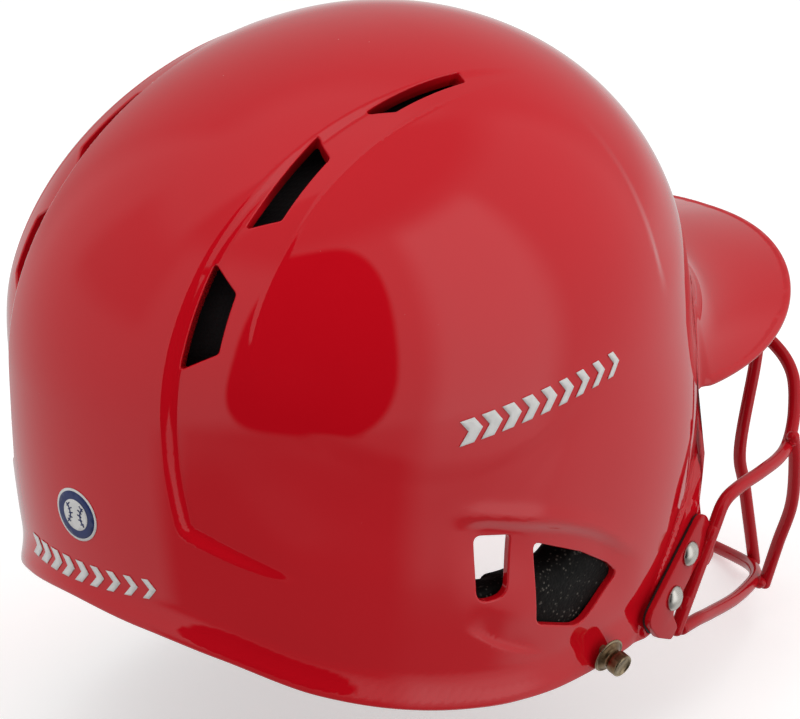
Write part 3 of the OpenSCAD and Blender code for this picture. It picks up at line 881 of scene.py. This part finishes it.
def tube(path, radius, sides=20):
    """A swept rod with rolled ends, its rings kept from twisting."""
    t = unit(np.gradient(path, axis=0))
    angle = np.radians([20, 40, 58, 74, 84])
    reach, cap = radius * 0.75 * np.sin(angle)[:, None], radius * np.cos(angle)
    radii = np.concatenate([cap[::-1], np.full(len(path), radius), cap])
    path = np.vstack([(path[0] - t[0] * reach)[::-1], path, path[-1] + t[-1] * reach])
    t = unit(np.gradient(path, axis=0))
    a = unit(np.cross(t[0], [0.31, 0.21, 0.93]))
    verts = []
    for i in range(len(path)):
        a = unit(a - t[i] * (a @ t[i]))
        b = np.cross(t[i], a)
        for k in range(sides):
            w = 2 * math.pi * k / sides
            verts.append(path[i] + radii[i] * (math.cos(w) * a + math.sin(w) * b))
    return np.array(verts), ring_faces(len(path), sides)


LATHE_SIDES = 48


def lathe(profile, place_at, sides=LATHE_SIDES):
    """A turned piece from (radius, height) pairs, on local axes given by place_at."""
    turns = [2 * math.pi * k / sides for k in range(sides)]
    verts = [[r * math.cos(w), r * math.sin(w), h] for r, h in profile for w in turns]
    return place_at(np.array(verts)), ring_faces(len(profile), sides)


def bevelled(outline, low, high, edge, place_at, steps=4):
    """A plate with its edges rounded, from an anticlockwise outline in its own plane."""
    o = np.asarray(outline, float)
    t = unit(np.roll(o, -1, 0) - np.roll(o, 1, 0))
    inward = np.stack([-t[:, 1], t[:, 0]], 1)
    curve = [(edge * (1 - math.sin(a)), edge * (1 - math.cos(a)))
             for a in (math.pi / 2 * i / steps for i in range(steps + 1))]
    rings = [(d, low + h) for d, h in curve] + [(d, high - h) for d, h in curve[::-1]]
    verts = np.vstack([np.column_stack([o + inward * d, np.full(len(o), h)]) for d, h in rings])
    return place_at(verts), ring_faces(len(rings), len(o))


def make(name, parts, materials, node, sharp=None):
    verts, faces = join_parts(parts)
    ob = object_from(name, place(verts), faces)
    if sharp is not None:
        ob.data.set_sharp_from_angle(angle=math.radians(sharp))
    finish_piece(ob, materials, node)
    return ob


def make_pair(name, parts, materials, node, sharp=None):
    """The right piece and its mirror image, each for the CAD node of its side."""
    return [make(f"{name}_{side}", these, materials, f"{node}_{side}", sharp)
            for side, these in (("right", parts), ("left", [flipped(p) for p in parts]))]


# ---- Seat and stud axes, as in the CAD ---------------------------------------------------
SEAT_TURN = math.atan(0.2)


def on_seat(y, z):
    """Local (x, y, z) on the right plate seat: z out of the seat, x down, y aft."""
    out = np.array([-math.cos(SEAT_TURN), -math.sin(SEAT_TURN), 0])
    down = np.array([0.0, 0.0, -1.0])
    aft = np.cross(out, down)
    origin = np.array([-seat_x(y), y, z])
    return lambda v: (origin + v[:, :1] * down + v[:, 1:2] * aft + v[:, 2:3] * out)


STUD_BASE, STUD_TILT = np.array([-97, -14.5, 8.0]), math.radians(106)


def on_stud(v):
    out = np.array([-math.sin(STUD_TILT), 0, math.cos(STUD_TILT)])
    side = np.array([0.0, 1.0, 0.0])
    return STUD_BASE + v[:, :1] * np.cross(side, out) + v[:, 1:2] * side + v[:, 2:3] * out


# ---- The guard ---------------------------------------------------------------------------
UPPER_ROUTE = [[-92, -57, -1], [-92, -63, 10], [-92, -75, 32], [-91.5, -81, 40.5],
               [-89, -92, 42], [-84, -110, 40.4], [-77, -129, 38], [-70, -143, 38],
               [-64, -153, 45], [-56, -161, 55], [-44, -165.5, 61.5], [-28, -167, 65.5],
               [0, -168, 68]]
LOWER_ROUTE = [[-91.2, -61.4, -1.8], [-88, -73, -3.6], [-83, -86, -7.5], [-71, -115, -16],
               [-57, -143, -23], [-46, -157, -27.5], [-33, -168, -32.5], [-16, -176, -36.5],
               [0, -178.5, -37.5]]
OUTER_UPRIGHT = [[-73.4, -141, 41.5], [-72.4, -144.2, 30], [-68, -149.2, 10],
                 [-62.5, -149.2, -8], [-60, -145.5, -24.5]]
INNER_UPRIGHT = [[-33, -169.5, 66.5], [-33, -167.5, 50], [-33, -161, 18], [-33, -165, 0],
                 [-33, -172, -30], [-33, -172.8, -34]]


def both_halves(route):
    r = np.asarray(route, float)
    return np.vstack([r, mirrored(r[:-1])[::-1]])


def weld_bead(centre, along, size=(3.4, 2.3, 2.3)):
    """A small lump of weld, longer along the wire."""
    centre, x = np.asarray(centre), unit(np.asarray(along, float))
    y = unit(np.cross(x, [0.2, 0.9, 0.35]))
    z = np.cross(x, y)
    verts, faces, rows, cols = [], [], 8, 14
    for i in range(1, rows):
        a = math.pi * i / rows
        for k in range(cols):
            w = 2 * math.pi * k / cols
            lump = 1 + 0.06 * math.sin(3 * w + 2 * a) + 0.05 * math.cos(5 * a + w)
            verts.append(centre + lump * (x * size[0] * math.cos(a)
                                          + y * size[1] * math.sin(a) * math.cos(w)
                                          + z * size[2] * math.sin(a) * math.sin(w)))
    verts += [centre + x * size[0], centre - x * size[0]]
    n = (rows - 1) * cols
    pairs = [(k, (k + 1) % cols) for k in range(cols)]
    for i in range(rows - 2):
        faces += [[i * cols + k, (i + 1) * cols + k, (i + 1) * cols + m, i * cols + m]
                  for k, m in pairs]
    for k, m in pairs:
        faces += [[n, k, m], [n + 1, (rows - 2) * cols + m, (rows - 2) * cols + k]]
    return np.array(verts), faces


def guard():
    r = WIRE / 2
    for name, route in (("upper", UPPER_ROUTE), ("lower", LOWER_ROUTE)):
        make(f"guard_{name}_bar", [tube(curve_points(both_halves(route), 9), r)], GUARD_RED,
             f"guard_{name}_wire")
    uprights = {
        "outer": [tube(curve_points(OUTER_UPRIGHT, 12), r),
                  weld_bead([-72.6, -141.6, 39.2], [0.55, -0.8, 0.05]),
                  weld_bead([-60, -143.2, -23], [0.5, -0.85, -0.15])],
        "inner": [tube(curve_points(INNER_UPRIGHT, 10), r),
                  weld_bead([-33, -168, 64.9], [0.95, -0.1, 0.12]),
                  weld_bead([-33, -170.2, -33.2], [0.85, -0.45, -0.2])],
    }
    for name, parts in uprights.items():
        make_pair(f"guard_{name}_bar", parts, GUARD_RED, f"guard_{name}_upright")


PLATE_TURN, PLATE_HALF, GAP_SHADE_STRIP_INSET = math.radians(-53), (6.5, 23.5), 0.35


HEAD_FOOT = 4.54  # height of the screw heads' undersides over the seat


def turned_outline(corners, radii):
    """A rounded outline in the plate's own slope."""
    o = rounded(corners, radii, 0.8)
    c, s = math.cos(PLATE_TURN), math.sin(PLATE_TURN)
    return np.stack([o[:, 0] * c - o[:, 1] * s, o[:, 0] * s + o[:, 1] * c], 1)


def plate_outline():
    """The plate, with a lug at each end that reaches the wire."""
    w, h = PLATE_HALF
    corners = [[-h, -w], [h, -w], [h - 1, w - 1], [17.8, 14.8], [12.4, 14.8], [11.6, w],
               [-11.6, w], [-12.4, 14.6], [-17.8, 14.6], [1 - h, w - 1]]
    return turned_outline(corners, [w, w, 5, 1.8, 1.8, 3.5, 3.5, 1.8, 1.8, 5])


# Outline of the black strip under the plate, whose black is partly painted shade for the gap.
def gap_shade_strip_outline():
    w, h = PLATE_HALF[0] - GAP_SHADE_STRIP_INSET, PLATE_HALF[1] - GAP_SHADE_STRIP_INSET
    return turned_outline([[-h, -w], [h, -w], [h, w], [-h, w]], [w] * 4)


def plates_and_screws():
    seat = on_seat(PLATE_Y, PLATE_Z)
    welds = [weld_bead([-92.6, -73.9, 31.2], [0, -0.48, 0.88], (4.4, 1.9, 2.4)),
             weld_bead([-92.4, -61.6, 8.6], [0, -0.45, 0.9], (4.4, 1.9, 2.4))]
    make_pair("guard_plate_skin", [bevelled(plate_outline(), 2.02, 4.52, 0.5, seat)] + welds,
              GUARD_RED, "guard_plate", sharp=50)
    # A rubber spacer under the plate; its black strip in the gap is also painted shade, standing in
    # for the gap's shadow.
    make_pair("gasket", [bevelled(gap_shade_strip_outline(), 1.05, 1.98, 0.3, seat)], RUBBER_AND_GAP_SHADE, "spacer",
              sharp=50)
    r = 4.5
    screw = [(0.01, -9.4), (2.2, -9.4), (2.4, -9.2), (2.4, 0), (r - 0.35, 0), (r - 0.1, 0.06),
             (r, 0.25), (r, 0.55), (r - 0.12, 0.78), (r - 0.5, 1.22), (r - 1.2, 1.76),
             (r - 2.2, 2.22), (r - 3.2, 2.5), (r - 4.0, 2.62), (0.01, 2.66)]
    heads = [lathe([(a, b + HEAD_FOOT) for a, b in screw], on_seat(y, z))
             for y, z in ((-59.5, 28.5), (-49.7, 15.5))]
    make("screw_heads", heads + [flipped(h) for h in heads], STEEL, "guard_screws",
         sharp=55)


def studs():
    """Each stud is one turned piece, worn bright on its head and on its flange's edge."""
    profile = [(0.01, -3.6), (1.9, -3.6), (1.9, 1.5), (6.0, 1.5), (6.25, 1.58), (6.35, 1.8),
               (6.3, 2.1), (6.05, 2.3), (5.7, 2.32), (5.5, 2.2), (5.25, 2.25), (4.9, 2.7),
               (4.1, 3.0), (3.6, 3.3), (3.4, 3.7), (3.4, 4.3), (3.55, 4.6), (3.7, 4.8),
               (3.95, 5.0), (4.1, 5.25), (4.15, 5.5), (4.15, 8.1), (4.1, 8.45), (3.9, 8.75),
               (3.6, 8.9), (3.35, 8.8), (3.2, 8.5), (3.1, 8.35), (0.01, 8.28)]
    for ob in make_pair("stud", [lathe(profile, on_stud)], [BRASS, BRASS_BRIGHT], "snap_stud",
                        sharp=70):
        for poly in ob.data.polygons:
            ring = min(poly.vertices) // LATHE_SIDES
            if ring >= 22 or 3 <= ring <= 7:
                poly.material_index = 1


# ---- Prints on the shell -----------------------------------------------------------------
def film(shapes, to_chart_here, lift, thick=0.22, step=1.6):
    """Thin films that follow the skin: each shape is an outline on its own flat plane."""
    parts = []
    for outline in shapes:
        o = np.asarray(outline, float)
        lo, hi = o.min(0), o.max(0)
        gx, gy = np.meshgrid(np.arange(lo[0], hi[0], step) + step / 2,
                             np.arange(lo[1], hi[1], step) + step / 2)
        grid = np.stack([gx.ravel(), gy.ravel()], 1)
        grid = grid[in_polygon(grid, o)]
        if len(grid):
            near = np.sqrt(((grid[:, None] - o[None]) ** 2).sum(2)).min(1)
            grid = grid[near > step * 0.45]
        n = len(o)
        out, _e, tri, _o, _oe, _of = geometry.delaunay_2d_cdt(
            [Vector(v) for v in np.vstack([o, grid])], [(i, (i + 1) % n) for i in range(n)],
            [], 1, 1e-6)
        flat = np.array([tuple(v) for v in out])
        p, _ax, _ay, up = differences(skin, to_chart_here(flat), 1e-3)
        m = len(flat)
        ring = list(range(n)) if double_area(o) > 0 else list(range(n))[::-1]
        faces = [list(f) for f in tri] + [[i + m for i in f[::-1]] for f in tri]
        faces += [[a, a + m, b + m, b] for a, b in zip(ring, ring[1:] + ring[:1])]
        parts.append((np.vstack([p + up * (lift + thick), p + up * lift]), faces))
    verts, faces = join_parts(parts)
    a = verts[faces[0]]
    if np.cross(a[1] - a[0], a[2] - a[0]) @ (a[0] - CENTRE) < 0:
        faces = [f[::-1] for f in faces]
    return verts, faces


def chevrons(length, height, count, weight, lean):
    """A row of arrow strokes that get narrower."""
    shapes = []
    for i in range(count):
        w, x = weight * (1.15 - 0.55 * i / (count - 1)), i * (length / count)
        shapes.append([[x, 0], [x + w, 0], [x + w + lean, height / 2], [x + w, height],
                       [x, height], [x + lean, height / 2]])
    return [refined(s, 0.9) for s in shapes]


def refined(outline, gap):
    o = np.asarray(outline, float)
    out = []
    for a, b in zip(o, np.roll(o, -1, 0)):
        n = max(1, int(np.linalg.norm(b - a) / gap))
        out += [a + (b - a) * k / n for k in range(n)]
    return np.array(out)


def side_place(side):
    """Where the side print lies: it climbs slightly towards the front."""
    return lambda q: chart_of_side(54.5 - q[:, 0] * 0.93,
                                   104.2 + q[:, 0] * 0.123 * 1.02 + q[:, 1], side)


def rear_place(bearing, height, climb):
    def to_chart_here(q):
        f = bearing - q[:, 0] / 2.36
        return chart_of_height(np.where(f > 180, f - 360, f), height + q[:, 0] * climb + q[:, 1])
    return to_chart_here


def printed(name, outlines, where, lift, material, node, thick=0.22, step=1.6):
    verts, faces = film(outlines, where, lift, thick, step)
    finish_piece(object_from(name, place(verts), faces), material, node)


def prints():
    for side, name in ((1, "right"), (-1, "left")):
        printed(f"side_print_{name}", chevrons(72, 8.4, 9, 4.6, 3.2), side_place(side), 0.12,
                WHITE, f"side_decal_{name}")
    printed("rear_print", chevrons(62, 7.0, 9, 3.8, 2.7), rear_place(191.0, 51.6, 0.035), 0.12,
            WHITE, "rear_decal")
    layers = (("rim", [disc(9.1)], 0.10, WHITE), ("field", [disc(8.2)], 0.24, NAVY),
              ("ball", [disc(5.4)], 0.38, WHITE), ("stitches", stitches(), 0.52, NAVY))
    for name, outlines, lift, material in layers:
        printed(f"badge_{name}", outlines, rear_place(178.15, 76.8, 0.0), lift, material,
                "rear_badge" if name == "rim" else None, 0.14, 1.5)


def disc(radius):
    angle = np.linspace(0, 2 * math.pi, 48, endpoint=False)
    return np.stack([radius * np.cos(angle), radius * np.sin(angle)], 1)


def stitches():
    """Two curved seams with short ticks, as on any ball."""
    shapes = []
    for sign in (-1, 1):
        t = np.linspace(-0.85, 0.85, 12)
        cx, r = sign * 6.6, 4.6
        seam = [[cx - sign * r * math.cos(a), r * math.sin(a)] for a in t]
        inner = [[cx - sign * (r - 0.45) * math.cos(a), (r - 0.45) * math.sin(a)] for a in t]
        shapes.append(np.array(seam + inner[::-1]))
        for a in np.linspace(-0.66, 0.66, 5):
            c, s = math.cos(a), math.sin(a)
            p0 = np.array([cx - sign * (r - 0.9) * c, (r - 0.9) * s])
            p1 = np.array([cx - sign * (r + 0.9) * c, (r + 0.9) * s + 0.5])
            w = unit(np.array([-(p1 - p0)[1], (p1 - p0)[0]])) * 0.18
            shapes.append(np.array([p0 - w, p1 - w, p1 + w, p0 + w]))
    return shapes


# ---- Pads --------------------------------------------------------------------------------
PAD_MIDDLE = np.array([0, 0, CENTRE_Z - 40])  # the pads face this place
PUFF_PRESSURE, PUFF_FRAMES, PUFF_OUTWARD = 4.0, 20, 0.0002


def remeshed(node, name, voxel):
    """A loose copy of a CAD pad with an even skin."""
    ob = new_object(name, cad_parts[node].data.copy())
    ob.data.materials.clear()
    mod = ob.modifiers.new("even", "REMESH")
    mod.mode = "VOXEL"
    mod.voxel_size = voxel
    bake(ob)
    return ob


def bake(ob):
    dg = bpy.context.evaluated_depsgraph_get()
    dg.update()
    me = bpy.data.meshes.new_from_object(ob.evaluated_get(dg))
    ob.modifiers.clear()
    ob.data = me


def mesh_vectors(ob, kind="co"):
    """The mesh's places (co) or normals (normal), one row a point."""
    values = np.zeros(len(ob.data.vertices) * 3)
    ob.data.vertices.foreach_get(kind, values)
    return values.reshape(-1, 3)


def set_coords(ob, co):
    ob.data.vertices.foreach_set("co", np.asarray(co, np.float32).ravel())
    ob.data.update()


def relax(co, edges, rounds):
    """Moves each point halfway to its neighbours' mean, a few times."""
    for _ in range(rounds):
        total, count = np.zeros_like(co), np.zeros(len(co))
        for a, b in ((0, 1), (1, 0)):
            np.add.at(total, edges[:, a], co[edges[:, b]])
        for a in (0, 1):
            np.add.at(count, edges[:, a], 1)
        co = co * 0.5 + total / np.maximum(count, 1)[:, None] * 0.5
    return co


def edge_list(ob):
    e = np.zeros(len(ob.data.edges) * 2, int)
    ob.data.edges.foreach_get("vertices", e)
    return e.reshape(-1, 2)


def puffed(ob, cap):
    """Cloth pressure swells the pad; the side against the shell may hardly move."""
    before = mesh_vectors(ob)
    mod = ob.modifiers.new("puff", "CLOTH")
    s = mod.settings
    s.use_pressure = True
    s.uniform_pressure_force = PUFF_PRESSURE
    s.effector_weights.gravity = 0
    s.quality = 4
    s.tension_stiffness = s.compression_stiffness = 18
    s.bending_stiffness = 2.0
    mod.collision_settings.use_collision = False
    scene = bpy.context.scene
    for k in range(1, PUFF_FRAMES + 1):
        scene.frame_set(k)
    bake(ob)
    scene.frame_set(1)
    after = mesh_vectors(ob)
    if len(after) != len(before):
        after = before
    outward = unit(before - place([PAD_MIDDLE])[0])
    move = after - before
    size = np.linalg.norm(move, axis=1, keepdims=True)
    move *= np.minimum(1, cap / np.maximum(size, 1e-9))
    out = (move * outward).sum(1)
    move -= outward * np.maximum(out - PUFF_OUTWARD, 0)[:, None]
    set_coords(ob, before + move)


def pad(node, name, material, voxel, groove, cap=0.0022):
    """A CAD pad made soft: even skin, puffed, subdivided, then its sewn channels."""
    ob = remeshed(node, name, voxel)
    set_coords(ob, relax(mesh_vectors(ob), edge_list(ob), 3))
    puffed(ob, cap)
    mod = ob.modifiers.new("fine", "SUBSURF")
    mod.levels = mod.render_levels = 1
    bake(ob)
    co, n = mesh_vectors(ob), mesh_vectors(ob, "normal")
    flap = co / MM - OFFSET
    out = unit(flap - PAD_MIDDLE)
    facing = (n * out).sum(1)
    inner, outer = smooth((-facing - 0.2) / 0.5), smooth((facing - 0.1) / 0.4)
    set_coords(ob, co - (n * (groove(flap) * inner)[:, None]
                         + out * (vent_dents(flap) * outer)[:, None]) * MM)
    ob.data.polygons.foreach_set("use_smooth", [True] * len(ob.data.polygons))
    finish_piece(ob, material, node)


VENT_DENT, CROWN_GROOVE, SIDE_GROOVE = 4.6, 2.2, 1.8  # depths


def vent_dents(p):
    """How far the liner steps back behind the vents' walls."""
    at = np.stack(angles(p), 1)
    deep = np.zeros(len(p))
    for corners, _radius in VENTS.values():
        c = np.asarray(corners)
        near = smooth((at - c.min(0) + 5) / 3) * (1 - smooth((at - c.max(0) - 2) / 3))
        deep = np.maximum(deep, near[:, 0] * near[:, 1])
    return VENT_DENT * deep


def dip(distance, width):
    return np.exp(-((distance / width) ** 2))


def crown_grooves(p):
    """Sewn channels: one ring and spokes between it and the pad's edge."""
    r = np.hypot(p[:, 0], p[:, 1] * 0.85)
    f = np.degrees(np.arctan2(p[:, 0], p[:, 1]))
    ring = dip(r - 34, 1.6)
    spokes = np.zeros(len(p))
    for a in range(0, 360, 45):
        away = np.abs((f - a - 22.5 + 180) % 360 - 180)
        spokes = np.maximum(spokes, dip(np.radians(away) * r, 1.6) * smooth((r - 34) / 4))
    return CROWN_GROOVE * np.maximum(ring, spokes)


def band_grooves(step):
    def made(p):
        f = np.degrees(np.arctan2(-p[:, 0], -p[:, 1]))
        r = np.hypot(p[:, 0], p[:, 1])
        away = np.abs((f + step / 2) % step - step / 2)
        return SIDE_GROOVE * dip(np.radians(away) * r, 1.5)
    return made


def ear_grooves(p):
    """A rim seam that follows the ear, and short ribs on the cheek."""
    y, z = p[:, 1], p[:, 2]
    ring = dip(np.hypot((y - 2) / 1.25, z - 42) - 24, 1.5)
    ribs = dip((np.abs(y + 42) % 11) - 5.5, 1.3) * smooth((-22 - y) / 6) * smooth((74 - z) / 6)
    return SIDE_GROOVE * np.maximum(ring, ribs)


def pads():
    pad("crown_pad", "liner_crown", KNIT, 0.0036, crown_grooves)
    pad("front_pad", "liner_front", KNIT, 0.0030, band_grooves(20))
    pad("rear_pad", "liner_rear", KNIT, 0.0032, band_grooves(18))
    for side in ("right", "left"):
        pad(f"side_pad_{side}", f"liner_side_{side}", KNIT, 0.0030, band_grooves(20))
        pad(f"ear_pad_{side}", f"liner_ear_{side}", FOAM, 0.0030, ear_grooves, cap=0.0016)


# ---- Building ----------------------------------------------------------------------------
finish_piece(build_shell(), SHELL_RED, "shell")
guard()
plates_and_screws()
studs()
prints()
pads()
for cad_node, material in (("guard_nuts", STEEL), ("stud_washers", BRASS)):
    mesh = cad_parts[cad_node].data
    mesh.materials.clear()
    mesh.materials.append(material)


# ---- Studio ------------------------------------------------------------------------------
def aimed(name, data, azimuth, elevation, distance, target):
    """Links a light or camera that looks at the target from a bearing and a height."""
    ob = new_object(name, data)
    a, e = math.radians(azimuth), math.radians(elevation)
    back = Vector((math.sin(a) * math.cos(e), -math.cos(a) * math.cos(e), math.sin(e)))
    ob.location = Vector(target) + back * distance
    ob.rotation_mode = "QUATERNION"
    ob.rotation_quaternion = back.to_track_quat("Z", "Y")
    return ob


def fill_light(name, azimuth, elevation, size, power):
    """A large soft light that isn't seen and isn't reflected."""
    data = bpy.data.lights.new(name, "AREA")
    data.shape, data.energy, data.color = "RECTANGLE", power, (1.0, 0.95, 0.92)
    data.size, data.size_y = size
    ob = aimed(name, data, azimuth, elevation, 1.6, (0, 0.02, 0.14))
    ob.visible_glossy = ob.visible_camera = False


DEGREES = 57.29578
# Angles in degrees. A panel is left, right, low, high, the width of its soft edge, change.
OPENING_BEARING, OPENING_HEIGHT, OPENING_HALF = 231.0, 13.0, (32.0, 39.0)
TENT_LEVEL = 0.72
TENT_PANELS = [(-50, 38, -95, -24, 13, -0.50), (38, 72, -95, -34, 13, -0.45),
               (42, 74, -24, 48, 10, 0.58), (-110, -60, 18, 50, 14, -0.20),
               (-70, 120, 52, 95, 14, -0.30), (120, 200, 0, 60, 14, -0.22),
               (-200, -140, 0, 60, 14, -0.22)]


def tent():
    """A white light tent with a dark rounded opening, which the shell reflects, and panels
    that are brighter or dimmer. Bearings are measured from the opening's middle."""
    world = bpy.data.worlds.new("light_tent")
    world.use_nodes = True
    tree = world.node_tree
    coord = add_node(tree, "ShaderNodeTexCoord", {}).outputs["Generated"]

    def dot(vector):
        return add_node(tree, "ShaderNodeVectorMath", {0: coord, 1: vector},
                        operation="DOT_PRODUCT").outputs["Value"]

    def sums(op, *values):
        return add_node(tree, "ShaderNodeMath", dict(enumerate(values)),
                        operation=op).outputs[0]

    def step(value, at, width):
        return add_node(tree, "ShaderNodeMapRange",
                        {"Value": value, "From Min": at - width / 2, "From Max": at + width / 2},
                        interpolation_type="SMOOTHSTEP").outputs["Result"]

    def band(value, low, high, width):
        return sums("SUBTRACT", step(value, low, width), step(value, high, width))

    mid = math.radians(OPENING_BEARING)
    turn = sums("MULTIPLY", sums("ARCTAN2", dot((math.cos(mid), math.sin(mid), 0)),
                                 dot((math.sin(mid), -math.cos(mid), 0))), DEGREES)
    height = sums("MULTIPLY", sums("ARCSINE", dot((0, 0, 1))), DEGREES)
    total = TENT_LEVEL
    for left, right, low, high, width, change in TENT_PANELS:
        panel = sums("MULTIPLY", band(turn, left, right, width), band(height, low, high, width))
        total = sums("ADD", total, sums("MULTIPLY", panel, change))
    across = sums("DIVIDE", turn, OPENING_HALF[0])
    up = sums("DIVIDE", sums("SUBTRACT", height, OPENING_HEIGHT), OPENING_HALF[1])
    for _ in range(2):
        across, up = sums("MULTIPLY", across, across), sums("MULTIPLY", up, up)
    outside = step(sums("ADD", across, up), 1.0, 0.3)
    total = sums("MULTIPLY", sums("MAXIMUM", total, 0.0), outside)
    tree.nodes["Background"].inputs["Color"].default_value = (1, 1, 1, 1)
    tree.links.new(total, tree.nodes["Background"].inputs["Strength"])
    bpy.context.scene.world = world


def studio():
    bpy.context.scene.view_settings.view_transform = "Standard"
    tent()
    fill_light("warm_fill", 318, 52, (1.2, 1.2), 4.2)
    fill_light("top_fill", 190, 72, (1.2, 1.2), 5.0)
    fill_light("low_fill", 231, 2, (1.9, 0.34), 4.4)
    look = Look("floor_white", {"Roughness": 0.95, "Specular IOR Level": 0.0,
                                "Emission Color": (1, 1, 1, 1), "Emission Strength": 0.46})
    white = look.done({"Base Color": look.ramp(look.noise(3, 3), (0.3, (0.86, 0.86, 0.86, 1)),
                                               (0.7, (0.9, 0.9, 0.9, 1)))})
    s, low = 12.0, -0.0004
    me = bpy.data.meshes.new("floor")
    me.from_pydata([(-s, -s, 0), (s, -s, 0), (s, s, 0), (-s, s, 0)], [], [(0, 1, 2, 3)])
    floor = new_object("floor", me)
    floor.location.z = low
    floor.data.materials.append(white)
    floor.visible_glossy = floor.visible_diffuse = False
    wall(white)


def wall(material):
    """A white wall all round, which only the camera sees."""
    sides, radius, top = 96, 5.8, 5.0
    turns = [2 * math.pi * k / sides for k in range(sides)]
    me = bpy.data.meshes.new("backdrop")
    me.from_pydata([(radius * math.cos(w), radius * math.sin(w), z)
                    for z in (-0.01, top) for w in turns], [],
                   [(k, k + sides, (k + 1) % sides + sides, (k + 1) % sides)
                    for k in range(sides)])
    me.polygons.foreach_set("use_smooth", [True] * sides)
    ob = new_object("backdrop", me)
    ob.data.materials.append(material)
    for kind in ("glossy", "diffuse", "shadow", "transmission"):
        setattr(ob, f"visible_{kind}", False)


def camera():
    cam = bpy.data.cameras.new("camera")
    cam.lens, cam.clip_end = 143.9, 20
    cam.shift_x, cam.shift_y = 0.0329, -0.0198
    bpy.context.scene.camera = aimed("camera", cam, 226, 22, 1.1, place([[0, 0, 96]])[0])


studio()
camera()
